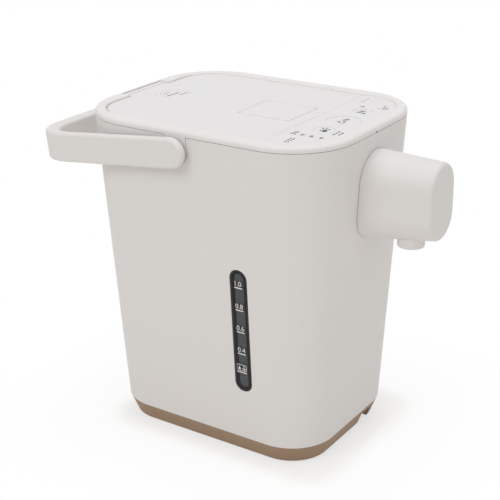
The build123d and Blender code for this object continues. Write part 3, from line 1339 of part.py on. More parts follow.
def latch_hook():
    """Hook on its own pin: two arms that the lever lifts and a nose towards the panel."""
    inner = HOOK_HALF - HOOK_ARM_WIDTH
    low = HOOK_PIVOT_Z - 1
    web_y = (HOOK_PIVOT_Y - HOOK_WEB, HOOK_PIVOT_Y)
    hook = block((-HOOK_HALF, HOOK_HALF), web_y, (HOOK_NOSE_LOW, HOOK_PIVOT_Z - HOOK_BOSS_R - SOFT_GAP))
    hook += block((-HOOK_HALF, HOOK_HALF), (HOOK_TIP_Y, HOOK_PIVOT_Y), (HOOK_NOSE_LOW, HOOK_NOSE_HIGH))
    for side in (-1, 1):
        span = (min(side * inner, side * HOOK_HALF), max(side * inner, side * HOOK_HALF))
        hook += block(span, (HOOK_PIVOT_Y, HOOK_ARM_END), (low, low + HOOK_ARM_THICK))
        hook += rod(HOOK_BOSS_R, (span[0], HOOK_PIVOT_Y, HOOK_PIVOT_Z), (span[1], HOOK_PIVOT_Y, HOOK_PIVOT_Z))
        hook += block(span, web_y, (HOOK_NOSE_LOW, HOOK_PIVOT_Z))
    return hook - cross_rod(LATCH_PIN_R + SHAFT_FIT, HOOK_HALF, HOOK_PIVOT_Y, HOOK_PIVOT_Z)


def lid_pins():
    """Pins of the lever and of the latch, fixed in the lid's lugs."""
    lever_pin = cross_rod(LEVER_PIN_R, LEVER_HALF + LEVER_LUG_WIDTH, LEVER_PIVOT_Y, LEVER_PIVOT_Z)
    latch_pin = cross_rod(LATCH_PIN_R, HOOK_HALF + SEAM + HOOK_LUG, HOOK_PIVOT_Y, HOOK_PIVOT_Z)
    return Compound(children=[lever_pin, latch_pin])


def latch_spring():
    """Coil round the latch's pin between its two arms."""
    coil = Helix(2 * SPRING_HALF / SPRING_TURNS, 2 * SPRING_HALF, SPRING_R)
    wire = sweep(Plane(origin=coil @ 0, z_dir=coil % 0) * Circle(SPRING_WIRE), path=coil, is_frenet=True)
    return Pos(-SPRING_HALF, HOOK_PIVOT_Y, HOOK_PIVOT_Z) * Rot(0, 90, 0) * wire


NODES = {
    "base_shell": base_shell,
    "bottom_plate": bottom_plate,
    "base_screws": base_screws,
    "feet": feet,
    "chassis_plate": chassis_plate,
    "body_shell": body_shell,
    "shoulder_rim": shoulder_rim,
    "control_panel": control_panel,
    "indicator_lamps": indicator_lamps,
    "control_board": control_board,
    "board_switches": board_switches,
    "inner_vessel": inner_vessel,
    "vessel_gasket": vessel_gasket,
    "insulating_jacket": insulating_jacket,
    "heater_plate": heater_plate,
    "temperature_sensor": temperature_sensor,
    "thermal_fuse": thermal_fuse,
    "vessel_support": vessel_support,
    "gauge_bezel": gauge_bezel,
    "gauge_window": gauge_window,
    "gauge_tube": gauge_tube,
    "gauge_carrier": gauge_carrier,
    "gauge_seals": gauge_seals,
    "gauge_hose": gauge_hose,
    "pump_housing": pump_housing,
    "pump_cover": pump_cover,
    "impeller": impeller,
    "drive_rotor": drive_rotor,
    "pump_motor": pump_motor,
    "inlet_hose": inlet_hose,
    "outlet_pipe": outlet_pipe,
    "spill_valve_body": spill_valve_body,
    "spill_valve_ball": spill_valve_ball,
    "spout_tube": spout_tube,
    "spout_cover": spout_cover,
    "spout_bracket": spout_bracket,
    "spout_screws": spout_screws,
    "nozzle": nozzle,
    "power_board": power_board,
    "board_components": board_components,
    "power_inlet": power_inlet,
    "inlet_pins": inlet_pins,
    "handle": handle,
    "handle_pins": handle_pins,
    "lid_cover": lid_cover,
    "lid_base": lid_base,
    "lid_screws": lid_screws,
    "inner_lid": inner_lid,
    "lid_gasket": lid_gasket,
    "lid_hinge_pin": lid_hinge_pin,
    "steam_cap": steam_cap,
    "steam_chamber": steam_chamber,
    "steam_ball": steam_ball,
    "lid_lever": lid_lever,
    "lid_pins": lid_pins,
    "latch_hook": latch_hook,
    "latch_spring": latch_spring,
}

os.makedirs("parts", exist_ok=True)
placing = Pos(0, ORIGIN_SHIFT, FOOT_DROP)
for name, make in NODES.items():
    export_step(placing * make(), f"parts/{name}.step")
for name in key_places():
    export_step(placing * key(name), f"parts/{name}.step")
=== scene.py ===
# %% [markdown]
# # An electric thermo pot
# The housing, the lid, the handle and all that is held inside come ready as solids. This notebook gives them
# their finishes, adds the small pieces that a moulder or a printer would add, and sets up a plain studio. The
# first cell loads the solids and keeps the size of their box.

# %% Load the solids
import json
import math

import bmesh
import bpy
from mathutils import Matrix, Vector


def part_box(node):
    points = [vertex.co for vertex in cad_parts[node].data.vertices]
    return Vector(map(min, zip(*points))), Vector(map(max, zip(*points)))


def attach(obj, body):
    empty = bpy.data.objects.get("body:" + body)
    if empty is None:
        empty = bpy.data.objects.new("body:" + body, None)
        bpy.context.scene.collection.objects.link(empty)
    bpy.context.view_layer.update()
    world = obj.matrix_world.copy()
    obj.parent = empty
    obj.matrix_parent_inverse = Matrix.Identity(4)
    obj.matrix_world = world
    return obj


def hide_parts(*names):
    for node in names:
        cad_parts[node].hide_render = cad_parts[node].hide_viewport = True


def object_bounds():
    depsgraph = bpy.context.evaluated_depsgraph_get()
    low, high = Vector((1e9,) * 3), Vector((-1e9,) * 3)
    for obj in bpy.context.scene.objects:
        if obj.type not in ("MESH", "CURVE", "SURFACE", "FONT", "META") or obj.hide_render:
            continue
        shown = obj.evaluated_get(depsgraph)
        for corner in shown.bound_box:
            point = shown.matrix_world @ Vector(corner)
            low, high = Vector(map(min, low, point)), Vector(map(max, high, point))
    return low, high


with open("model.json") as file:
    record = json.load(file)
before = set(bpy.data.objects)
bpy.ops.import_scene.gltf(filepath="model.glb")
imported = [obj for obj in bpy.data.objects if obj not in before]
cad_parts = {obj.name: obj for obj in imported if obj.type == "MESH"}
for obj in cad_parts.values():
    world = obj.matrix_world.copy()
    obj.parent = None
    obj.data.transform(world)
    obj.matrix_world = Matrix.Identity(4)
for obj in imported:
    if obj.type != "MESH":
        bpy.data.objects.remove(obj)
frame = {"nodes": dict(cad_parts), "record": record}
solids = frame["nodes"]
solid_box = [list(corner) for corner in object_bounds()]
print("solids:", len(solids), "box:", solid_box)

# %% [markdown]
# Sizes are easiest to read in millimetres, counted from the middle of the base's lower edge. The solids
# stand a little further back and on their feet, so one function moves a point into their frame.

# %% Millimetres to the model's frame
MM = 0.001
FEET = 1.2
SPOUT_REACH = 151.0
SHIFT_Y = SPOUT_REACH + solid_box[0][1] * 1000


def at(x, y, z):
    """Point in the model's frame, in metres, from millimetres on the pot."""
    return Vector((x, y + SHIFT_Y, z + FEET)) * MM


print("the pot stands back by", round(SHIFT_Y, 2), "mm")

# %% [markdown]
# A finish starts as a Principled shader. One function adds any node with its settings and links, and one
# turns the hex colours of a paint card into the linear values that the shader expects.

# %% Colours and nodes
def paint(code):
    """Linear colour from an sRGB hex value."""
    channels = [int(code[i : i + 2], 16) / 255 for i in (1, 3, 5)]
    return [c / 12.92 if c <= 0.04045 else ((c + 0.055) / 1.055) ** 2.4 for c in channels] + [1.0]


def add(tree, kind, settings=None, values=None, links=None):
    """Add one node: its settings, its sockets' plain values and the links into its sockets."""
    node = tree.nodes.new(kind)
    for name, value in (settings or {}).items():
        setattr(node, name, value)
    for name, value in (values or {}).items():
        node.inputs[name].default_value = value
    for name, source in (links or {}).items():
        tree.links.new(source, node.inputs[name])
    return node


def finish(name, **values):
    """New material with a Principled shader; words with _ stand for the shader's own socket names."""
    material = bpy.data.materials.new(name)
    material.use_nodes = True
    tree = material.node_tree
    shader = tree.nodes["Principled BSDF"]
    for key, value in values.items():
        shader.inputs[key.replace("_", " ")].default_value = value
    return material, tree, shader


print("mid grey as the shader reads it:", round(paint("#808080")[0], 3))

# %% [markdown]
# Real surfaces are never quite even. Their colour drifts between two close tones, their gloss varies a
# little, and they have a fine relief. All three are steered by patterns that read the object's own
# coordinates, so a pattern stays on its piece when the piece moves and keeps its size in millimetres.

# %% Uneven surfaces
def mapped(tree, scale):
    """Object coordinates in metres, multiplied per axis: a scale of 1000 counts millimetres."""
    place = add(tree, "ShaderNodeTexCoord").outputs["Object"]
    mapping = add(tree, "ShaderNodeMapping", values={"Scale": scale}, links={"Vector": place})
    return mapping.outputs["Vector"]


def surface(tree, shader, tones=None, gloss=None, relief=None):
    """Two tones, two roughnesses and a relief of a strength and a depth in mm, each after its pattern."""
    if tones:
        pattern, colour, shade = tones
        pair = {"A": colour, "B": shade}
        mix = add(tree, "ShaderNodeMix", {"data_type": "RGBA"}, pair, {"Factor": pattern})
        tree.links.new(mix.outputs["Result"], shader.inputs["Base Color"])
    if gloss:
        pattern, low, high = gloss
        spread = add(tree, "ShaderNodeMapRange", None, {"To Min": low, "To Max": high}, {"Value": pattern})
        tree.links.new(spread.outputs["Result"], shader.inputs["Roughness"])
    if relief:
        pattern, strength, depth = relief
        heights = {"Strength": strength, "Distance": depth * MM}
        bump = add(tree, "ShaderNodeBump", None, heights, {"Height": pattern})
        tree.links.new(bump.outputs["Normal"], shader.inputs["Normal"])


print("a pattern is scaled by", 1 / MM, "to count millimetres")

# %% [markdown]
# Nearly everything that shows is ABS from an injection mould. The mould of the body is etched by sparks,
# which leaves a fine even grain that scatters the light: the plastic looks matte and soft. The real grain
# is about 0.15 mm. It is drawn at about 0.5 mm, because the true size would vanish between two pixels.

# %% Grained plastic
CLOUDS = (9, 9, 9)


def grained(name, colour, shade, roughness, grain_mm, depth):
    """Moulded plastic: two close tones in broad clouds, a grained surface and slightly uneven gloss."""
    material, tree, shader = finish(name, IOR=1.53)
    broad = mapped(tree, CLOUDS)
    clouds = add(tree, "ShaderNodeTexNoise", values={"Scale": 1.0, "Detail": 3.0}, links={"Vector": broad})
    fine = mapped(tree, (1000 / grain_mm,) * 3)
    grain = add(tree, "ShaderNodeTexNoise", values={"Scale": 1.0, "Detail": 2.0}, links={"Vector": fine})
    cloud = clouds.outputs["Fac"]
    surface(
        tree,
        shader,
        tones=(cloud, paint(colour), paint(shade)),
        gloss=(cloud, roughness - 0.04, roughness + 0.04),
        relief=(grain.outputs["Fac"], 0.35, depth),
    )
    return material


shell_abs = grained("matte_shell_abs", "#E9E6E4", "#E7E4E2", 0.58, grain_mm=0.5, depth=0.05)
# the rim's tone is lighter than the body's: painted light on the same plastic; its smoother gloss is real
rim_abs_painted_lighter = grained("satin_rim_abs_painted_lighter", "#EDEAE9", "#EBE8E6", 0.5, grain_mm=0.5, depth=0.035)
plate_abs = grained("smooth_plate_abs", "#E9E7E7", "#E7E5E5", 0.42, grain_mm=0.6, depth=0.02)
mocha_abs = grained("mocha_base_abs", "#A1866C", "#9A7F66", 0.6, grain_mm=0.5, depth=0.06)
charcoal_abs = grained("charcoal_abs", "#171617", "#121112", 0.45, grain_mm=0.5, depth=0.03)
inner_polypropylene = grained("inner_polypropylene", "#CDCAC3", "#C2BFB8", 0.5, grain_mm=0.8, depth=0.04)
foot_rubber = grained("foot_rubber", "#2A2827", "#232120", 0.75, grain_mm=0.7, depth=0.08)
print("plastics:", len(bpy.data.materials))

# %% [markdown]
# The gauge is covered by a clear acrylic strip over a charcoal carrier. From outside it looks nearly black
# with a smooth shine, so its roughness is low and its surface has only a faint waviness from the mould. The
# lamps' lenses and the gauge's glass tube are made the same way, paler and with some light passing through.

# %% Smoked acrylic, lamp lenses and glass
def smooth_clear(name, colour, roughness, transmission, ior):
    """Polished clear plastic or glass with a faint waviness."""
    clear = {"Base_Color": paint(colour), "Transmission_Weight": transmission, "IOR": ior}
    material, tree, shader = finish(name, **clear)
    broad = mapped(tree, (90, 90, 90))
    waves = add(tree, "ShaderNodeTexNoise", values={"Scale": 1.0}, links={"Vector": broad}).outputs["Fac"]
    surface(tree, shader, gloss=(waves, roughness, roughness + 0.05), relief=(waves, 0.08, 0.1))
    return material


smoked_acrylic = smooth_clear("smoked_acrylic", "#404144", roughness=0.16, transmission=0.0, ior=1.49)
pale_lens = smooth_clear("pale_lamp_lens", "#E4DFD8", roughness=0.25, transmission=0.15, ior=1.49)
borosilicate = smooth_clear("borosilicate_tube", "#EEF3F3", roughness=0.03, transmission=0.95, ior=1.47)
print("clear finishes:", [material.name for material in (smoked_acrylic, pale_lens, borosilicate)])

# %% [markdown]
# The marks are pad-printed: a soft pad takes the ink up from an etched plate and presses it on. Such a film
# is flat and dull, and slightly uneven where the pad lifted, so its tone has specks of a few tenths of a
# millimetre. It gets a low specular level, because a black that shines would look grey beside the white. The
# black is no print but painted shade: it lies where a small hollow, seam or opening would be dark.

# %% Printing inks and the black of painted shade
def ink(name, colour):
    """Dull film of ink with a slightly speckled tone."""
    material, tree, shader = finish(name, IOR=1.5, Roughness=0.55, Specular_IOR_Level=0.25)
    fine = mapped(tree, (2500,) * 3)
    speck = add(tree, "ShaderNodeTexNoise", values={"Scale": 1.0, "Detail": 4.0}, links={"Vector": fine})
    lighter = [min(1, c * 1.25) for c in paint(colour)]
    surface(tree, shader, tones=(speck.outputs["Fac"], paint(colour), lighter))
    return material


white_ink = ink("white_scale_ink", "#D9D9D6")
grey_ink = ink("grey_panel_ink", "#454446")
# painted shade, not a printed mark: this black fills hollows, seams and openings that are not cut
painted_shade_black = ink("black_ink_for_painted_shade", "#0F0F0F")
print("inks:", [material.name for material in (white_ink, grey_ink, painted_shade_black)])

# %% [markdown]
# Stainless steel parts are pressed and then brushed: the scratches run one way, so the gloss is stretched
# across them. Noise that is squeezed along one axis gives streaks that are a few tenths of a millimetre
# wide. Cast aluminium gets the same noise with no direction, and turned brass has it round its axis.

# %% Metals
def brushed(name, colour, roughness, streaks):
    """Metal with fine streaks in its tone, its gloss and its relief."""
    material, tree, shader = finish(name, Metallic=1.0)
    fine = mapped(tree, streaks)
    lines = add(tree, "ShaderNodeTexNoise", values={"Scale": 1.0, "Detail": 5.0}, links={"Vector": fine})
    line = lines.outputs["Fac"]
    darker = [c * 0.86 for c in paint(colour)[:3]] + [1.0]
    surface(
        tree,
        shader,
        tones=(line, paint(colour), darker),
        gloss=(line, roughness - 0.08, roughness + 0.1),
        relief=(line, 0.25, 0.03),
    )
    return material


brushed_steel = brushed("brushed_stainless_steel", "#C2C3C4", roughness=0.3, streaks=(60, 60, 4000))
cast_aluminium = brushed("cast_aluminium", "#B9BBBD", roughness=0.5, streaks=(700, 700, 700))
turned_brass = brushed("turned_brass", "#CBA75E", roughness=0.28, streaks=(3000, 200, 3000))
print("metals:", [material.name for material in (brushed_steel, cast_aluminium, turned_brass)])

# %% [markdown]
# The hoses and the seals are silicone. It is milky and lets a little light in, which subsurface scattering
# over two millimetres gives, and its tone is only faintly clouded.

# %% Milky silicone
milky_silicone, silicone_tree, silicone_shader = finish("milky_silicone", IOR=1.41, Subsurface_Weight=0.25)
silicone_shader.inputs["Subsurface Scale"].default_value = 2 * MM
cloudy = mapped(silicone_tree, (60,) * 3)
haze = add(silicone_tree, "ShaderNodeTexNoise", values={"Scale": 1.0}, links={"Vector": cloudy})
cloud = haze.outputs["Fac"]
milk_tones = (cloud, paint("#DAD8D2"), paint("#CFCCC4"))
surface(silicone_tree, silicone_shader, tones=milk_tones, gloss=(cloud, 0.42, 0.56))
print("nodes in the silicone:", len(silicone_tree.nodes))

# %% [markdown]
# The insulating jacket is a needled felt of glass wool, all short fibres. Noise that is distorted and drawn
# out along the height looks like them, and a soft sheen takes the place of the fibre ends.

# %% Needled felt
needled_felt, felt_tree, felt_shader = finish("needled_felt", Roughness=0.95, Sheen_Weight=0.3)
drawn_out = mapped(felt_tree, (350, 350, 120))
fibre_shape = {"Scale": 1.0, "Detail": 8.0, "Distortion": 2.0}
fibres = add(felt_tree, "ShaderNodeTexNoise", None, fibre_shape, {"Vector": drawn_out}).outputs["Fac"]
felt_tones = (fibres, paint("#8F8B83"), paint("#BDB9B0"))
surface(felt_tree, felt_shader, tones=felt_tones, relief=(fibres, 1.0, 0.5))
print("nodes in the felt:", len(felt_tree.nodes))

# %% [markdown]
# The circuit boards are glass-fibre laminate under green solder mask. Copper tracks show through it as paler
# lines. A brick pattern with narrow joints, a few millimetres apart, is enough for boards that lie inside.

# %% Green solder mask
solder_mask, mask_tree, mask_shader = finish("green_solder_mask", IOR=1.52, Roughness=0.32)
track_width = {"Scale": 1.0, "Mortar Size": 0.08, "Mortar Smooth": 0.2}
track_tones = {"Color1": paint("#3B6A47"), "Color2": paint("#427450"), "Mortar": paint("#5C8F66")}
board_grid = {"Vector": mapped(mask_tree, (260, 260, 260))}
tracks = add(mask_tree, "ShaderNodeTexBrick", {"offset": 0.5}, track_width | track_tones, board_grid)
mask_tree.links.new(tracks.outputs["Color"], mask_shader.inputs["Base Color"])
print("finishes:", len(bpy.data.materials))

# %% [markdown]
# Each solid now gets the finish that its slot in the record names. The solids' shapes are not touched: only
# their material is assigned. The shoulder rim is moulded a little smoother than the body that shares its
# slot. Its tone is also a little lighter, which is painted light that brightens the rim, so it is named
# singly.

# %% Give every solid its finish
slot_finish = {
    "matte_white": shell_abs,
    "plate_white": plate_abs,
    "mocha": mocha_abs,
    "charcoal": charcoal_abs,
    "window": smoked_acrylic,
    "glass": borosilicate,
    "lamp": pale_lens,
    "grey_plastic": inner_polypropylene,
    "steel": brushed_steel,
    "aluminium": cast_aluminium,
    "brass": turned_brass,
    "board": solder_mask,
    "silicone": milky_silicone,
    "felt": needled_felt,
    "rubber": foot_rubber,
}
for subpart in frame["record"]["subparts"]:
    mesh = solids[subpart["node"]].data
    mesh.materials.clear()
    mesh.materials.append(slot_finish[subpart["material_slot"]])
solids["shoulder_rim"].data.materials[0] = rim_abs_painted_lighter

# %% [markdown]
# The small marks are printed with a soft pad on the keys, the panel and the gauge. Each is drawn flat and in
# millimetres on a sheet of its own, so it can be read and kept simple. The first shapes are plates, thin
# outlines and strokes: a grid of one face is scaled, and its corners are rounded by a bevel.

# %% Straight shapes on a sheet
def plate(sheet, middle, width, height, corner):
    """Flat rounded rectangle; its face is returned."""
    verts = bmesh.ops.create_grid(sheet, x_segments=1, y_segments=1, size=0.5)["verts"]
    bmesh.ops.scale(sheet, verts=verts, vec=(width, height, 1))
    bmesh.ops.translate(sheet, verts=verts, vec=(*middle, 0))
    rounded = bmesh.ops.bevel(
        sheet, geom=verts, affect="VERTICES", offset=corner, segments=5, profile=0.5, material=-1
    )
    return list({face for vert in rounded["verts"] for face in vert.link_faces})


def outline(sheet, middle, width, height, corner, line):
    """Rounded rectangle as a thin line: the plate is inset and its middle taken out."""
    inside = plate(sheet, middle, width, height, corner)
    bmesh.ops.inset_region(sheet, faces=inside, thickness=line, use_boundary=True)
    bmesh.ops.delete(sheet, geom=inside, context="FACES")


def stroke(sheet, start, end, width):
    """Straight stroke with rounded ends."""
    start, end = Vector((*start, 0)), Vector((*end, 0))
    along = end - start
    drawn = plate(sheet, (0, 0), along.length + width, width, width * 0.45)
    turn = Matrix.Rotation(math.atan2(along.y, along.x), 4, "Z")
    verts = list({vert for face in drawn for vert in face.verts})
    bmesh.ops.transform(sheet, verts=verts, matrix=Matrix.Translation((start + end) / 2) @ turn)


trial = bmesh.new()
plate(trial, (0, 0), 4, 2, 0.5)
print("a plate has", len(trial.verts), "points round its edge")
trial.free()

# %% [markdown]
# Some marks are round. A curved stroke is a short edge that is spun about the middle, and a dot is a filled
# circle. Pulling up the dot's upper half makes it a drop of water.

# %% Round shapes on a sheet
def arc(sheet, middle, radius, width, start=0.0, sweep=360.0):
    """Curved stroke: a short edge is spun about the middle. Angles are degrees from the right."""
    ray = Vector((math.cos(math.radians(start)), math.sin(math.radians(start)), 0))
    middle = Vector((*middle, 0))
    ends = [sheet.verts.new(middle + ray * (radius + side * width / 2)) for side in (-1, 1)]
    edge = sheet.edges.new(ends)
    bmesh.ops.spin(
        sheet,
        geom=ends + [edge],
        cent=middle,
        axis=(0, 0, 1),
        angle=math.radians(sweep),
        steps=max(6, int(sweep / 15)),
        use_merge=sweep == 360,
    )


def dot(sheet, middle, radius, tip=0.0):
    """Round dot; a tip pulls its upper half into a drop of water."""
    verts = bmesh.ops.create_circle(sheet, cap_ends=True, segments=20, radius=radius)["verts"]
    for vert in verts:
        rise = max(0.0, vert.co.y / radius)
        vert.co.x *= 1 - min(1.0, tip) * 0.9 * rise
        vert.co.y += tip * radius * rise**2
    bmesh.ops.translate(sheet, verts=verts, vec=(*middle, 0))


trial = bmesh.new()
arc(trial, (0, 0), 5, 1)
print("a ring has", len(trial.faces), "faces")
trial.free()

# %% [markdown]
# The scale and the lamps carry plain numbers. Blender's own text gives the digits. They are turned into a
# mesh at once, scaled to their real height and joined to the sheet, so they are printed like any mark.

# %% Plain numbers on a sheet
def number(sheet, digits, middle, height):
    """Plain sans digits, made a mesh and scaled to their real height; the middle is on their foot."""
    curve = bpy.data.curves.new("digits", "FONT")
    curve.body = digits
    holder = bpy.data.objects.new("digits", curve)
    flat = bpy.data.meshes.new_from_object(holder)
    before = set(sheet.verts)
    sheet.from_mesh(flat)
    verts = [vert for vert in sheet.verts if vert not in before]
    low = [min(vert.co[axis] for vert in verts) for axis in (0, 1)]
    high = [max(vert.co[axis] for vert in verts) for axis in (0, 1)]
    size = height / (high[1] - low[1])
    bmesh.ops.translate(sheet, verts=verts, vec=(-(low[0] + high[0]) / 2, -low[1], 0))
    bmesh.ops.scale(sheet, verts=verts, vec=(size, size, 1))
    bmesh.ops.translate(sheet, verts=verts, vec=(*middle, 0))
    bmesh.ops.remove_doubles(sheet, verts=verts, dist=0.001)
    bpy.data.objects.remove(holder)
    bpy.data.curves.remove(curve)
    bpy.data.meshes.remove(flat)


trial = bmesh.new()
number(trial, "0", (0, 0), 3.7)
print("a digit has", len(trial.faces), "faces")
trial.free()

# %% [markdown]
# A finished form becomes an object that rides on a body of the pot. A film of ink is a few hundredths of a
# millimetre thick: the sheet is extruded by that much and laid on the face that carries it.

# %% From a drawing to a piece
FILM = 0.06


def piece(name, form, material, body, soft_angle=None):
    """Turn a finished form into an object that rides on a body; edges softer than the angle look smooth."""
    mesh = bpy.data.meshes.new(name)
    form.to_mesh(mesh)
    form.free()
    mesh.materials.append(material)
    if soft_angle:
        mesh.polygons.foreach_set("use_smooth", [True] * len(mesh.polygons))
        mesh.set_sharp_from_angle(angle=math.radians(soft_angle))
    made = bpy.data.objects.new(name, mesh)
    bpy.context.scene.collection.objects.link(made)
    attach(made, body)
    print(name, len(mesh.polygons), "faces")
    return made


def face_frame(origin, across, up):
    """Where a flat drawing goes: its middle, its rightward and its upward direction."""
    across, up = Vector(across).normalized(), Vector(up).normalized()
    turn = Matrix((across, up, across.cross(up))).transposed().to_4x4()
    return Matrix.Translation(origin) @ turn @ Matrix.Scale(MM, 4)


def top_face(node):
    """Upper face of a node, with the drawing's middle over the middle of the base."""
    face = at(0, 0, 0)
    face.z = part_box(node)[1][2]
    return face_frame(face, (1, 0, 0), (0, 1, 0))


def printed(name, sheet, place, material, body):
    """Give the sheet its thickness, lay it on its face and let it ride on a body."""
    raised = bmesh.ops.extrude_face_region(sheet, geom=sheet.faces[:])["geom"]
    top = [part for part in raised if isinstance(part, bmesh.types.BMVert)]
    bmesh.ops.translate(sheet, verts=top, vec=(0, 0, FILM))
    bmesh.ops.transform(sheet, verts=sheet.verts[:], matrix=place)
    bmesh.ops.recalc_face_normals(sheet, faces=sheet.faces[:])
    return piece(name, sheet, material, body)


print("the panel's face is", round(top_face("control_panel").translation.z * 1000, 2), "mm high")

# %% [markdown]
# The gauge's scale is printed in white on the window. Its lines are 0.2 litre apart. The lowest one is the
# refill line, and the box above it holds a drop and an arrow. A black outline round the window is painted
# shadow at the foot of the recess wall. The body's side leans, so the drawing's upward direction leans with
# it.

# %% Painted shadow round the gauge and its scale
LEAN = math.atan(13.6 / 222.7)
GAUGE_MIDDLE = 100
LEVELS = (("1.0", 134.0), ("0.8", 116.8), ("0.6", 99.7), ("0.4", 82.6))
REFILL = -32.3
LINE = 0.85
leaning_up = (-math.sin(LEAN), 0, math.cos(LEAN))
gauge_face = face_frame(at(-70.195, -36.6, GAUGE_MIDDLE), (0, -1, 0), leaning_up)
# painted shadow: a black outline where the recess wall meets the window
recess_shadow = bmesh.new()
outline(recess_shadow, (0, 0.1), width=11.1, height=92.2, corner=5.5, line=1.15)
printed("gauge_recess_shadow", recess_shadow, gauge_face, painted_shade_black, "housing")

scale_marks = bmesh.new()
for litres, height in LEVELS:
    rise = height - GAUGE_MIDDLE
    stroke(scale_marks, (-3.0, rise), (2.7, rise), LINE)
    number(scale_marks, litres, (-0.2, rise + 1.3), height=3.7)
stroke(scale_marks, (-4.7, REFILL), (2.9, REFILL), LINE)
outline(scale_marks, (-0.9, -28.6), width=8.4, height=5.0, corner=1.0, line=0.45)
dot(scale_marks, (-2.7, -29.2), radius=1.05, tip=1.0)
ARROW_X = 1.1
stroke(scale_marks, (ARROW_X, -27.2), (ARROW_X, -30.0), 0.5)
for side in (-1, 1):
    stroke(scale_marks, (ARROW_X + side * 1.2, -28.9), (ARROW_X + side * 0.2, -30.0), 0.5)
printed("gauge_scale", scale_marks, gauge_face, white_ink, "housing")

# %% [markdown]
# The panel's marks are dark grey. Simple pictures tell what each key does: a cup under a drop pours, a
# padlock unlocks, a thermometer chooses the heat. Each picture is a function of its place and its size, so
# that it can be drawn wherever it is needed.

# %% Pictures for the keys
def cup(sheet, x, y, size):
    for side in (-1, 1):
        stroke(sheet, (x + side * 0.5 * size, y + 0.45 * size), (x + side * 0.38 * size, y), 0.13 * size)
    stroke(sheet, (x - 0.3 * size, y), (x + 0.3 * size, y), 0.13 * size)
    dot(sheet, (x, y + 0.75 * size), 0.19 * size, 1.0)


def padlock(sheet, x, y, size):
    plate(sheet, (x, y), size, 0.75 * size, 0.12 * size)
    arc(sheet, (x, y + 0.5 * size), 0.28 * size, 0.14 * size, -25, 205)


def thermometer(sheet, x, y, size):
    dot(sheet, (x, y - 0.36 * size), 0.17 * size)
    stroke(sheet, (x, y - 0.1 * size), (x, y + 0.45 * size), 0.14 * size)
    for step in range(3):
        rise = y + (0.1 + 0.16 * step) * size
        stroke(sheet, (x + 0.2 * size, rise), (x + 0.34 * size, rise), 0.06 * size)


def steam(sheet, x, y, size):
    for side in (-1, 0, 1):
        arc(sheet, (x + side * 0.3 * size, y + 0.2 * size), 0.16 * size, 0.09 * size, 90, 180)
        arc(sheet, (x + side * 0.3 * size, y - 0.12 * size), 0.16 * size, 0.09 * size, -90, 180)


def clock(sheet, x, y, size):
    arc(sheet, (x, y), 0.45 * size, 0.1 * size)
    stroke(sheet, (x, y), (x, y + 0.25 * size), 0.09 * size)
    stroke(sheet, (x, y), (x + 0.2 * size, y), 0.09 * size)


def power(sheet, x, y, size):
    arc(sheet, (x, y), 0.42 * size, 0.12 * size, 125, 290)
    stroke(sheet, (x, y + 0.15 * size), (x, y + 0.5 * size), 0.12 * size)


def dashes(sheet, x, y, lengths, pitch, width):
    """Row of short strokes, as a plain legend."""
    for length in lengths:
        stroke(sheet, (x, y), (x + length, y), width)
        x += length + width + pitch


print("pictures:", [picture.__name__ for picture in (cup, padlock, thermometer, steam, clock, power)])

# %% [markdown]
# Each key carries one mark: pouring in the middle, unlocking beside it and the heat on the other side. A
# mark could be part of the panel's drawing, but it rides on its own key, so it goes down with the key.

# %% Marks on the keys
pour_mark = bmesh.new()
cup(pour_mark, -2.9, -77.3, 5.2)
steam(pour_mark, 3.8, -75.4, 5.2)
printed("pour_mark", pour_mark, top_face("dispense_key"), grey_ink, "dispense_key")

lock_mark = bmesh.new()
padlock(lock_mark, -26.9, -76.2, 4.2)
for y, length in ((-72.6, 1.6), (-75.0, 2.2), (-77.4, 1.2)):
    dashes(lock_mark, -23.4, y, (length,), pitch=0.9, width=1.0)
printed("lock_mark", lock_mark, top_face("unlock_key"), grey_ink, "unlock_key")

HEAT_ARROW_X = 28.2
heat_mark = bmesh.new()
thermometer(heat_mark, 24.0, -75.2, 6.6)
stroke(heat_mark, (HEAT_ARROW_X, -77.4), (HEAT_ARROW_X, -73.2), 0.8)
for side in (-1, 1):
    stroke(heat_mark, (HEAT_ARROW_X + side * 1.2, -74.6), (HEAT_ARROW_X + side * 0.3, -73.3), 0.8)
printed("heat_mark", heat_mark, top_face("temperature_key"), grey_ink, "temperature_key")

# %% [markdown]
# The panel round the keys is printed too. Plain numbers beside the lamps are degrees, and small pictures and
# rows of dashes mark the other lamps. All of it is one sheet, because the panel doesn't move.

# %% Marks on the panel
panel_marks = bmesh.new()
for digits, y in (("98", -69.6), ("80", -76.4), ("60", -83.7)):
    number(panel_marks, digits, (-42.1, y), height=2.5)
thermometer(panel_marks, -43.0, -61.6, 4.8)
steam(panel_marks, -38.6, -61.8, 4.2)
power(panel_marks, -60.0, -67.2, 3.6)
dashes(panel_marks, -56.6, -66.2, (1.7, 1.2), 0.7, 0.9)
dashes(panel_marks, -56.6, -68.4, (1.2, 1.9), 0.7, 0.9)
dashes(panel_marks, -31.6, -85.4, (1.9, 0.9, 1.7), 0.9, 1.1)
dashes(panel_marks, -30.2, -88.9, (1.1, 2.5), 0.9, 1.1)
clock(panel_marks, 38.8, -68.7, 3.2)
dashes(panel_marks, 49.8, -61.9, (2.4, 1.1, 2.2, 1.0), 0.9, 0.45)
power(panel_marks, 42.2, -84.6, 4.4)
dashes(panel_marks, 45.6, -82.0, (2.6,), 1.0, 0.8)
dashes(panel_marks, 39.0, -81.2, (1.4,), 1.0, 0.5)
printed("panel_marks", panel_marks, top_face("control_panel"), grey_ink, "housing")

# %% [markdown]
# Two tiny dark spots show on the outside: a pinhole beside the steam vent and a pry notch in the seam under
# the rim's front, where a screwdriver opens the pot for repair. At this size their shadow is all that is
# seen, so each is a small flat patch of black.

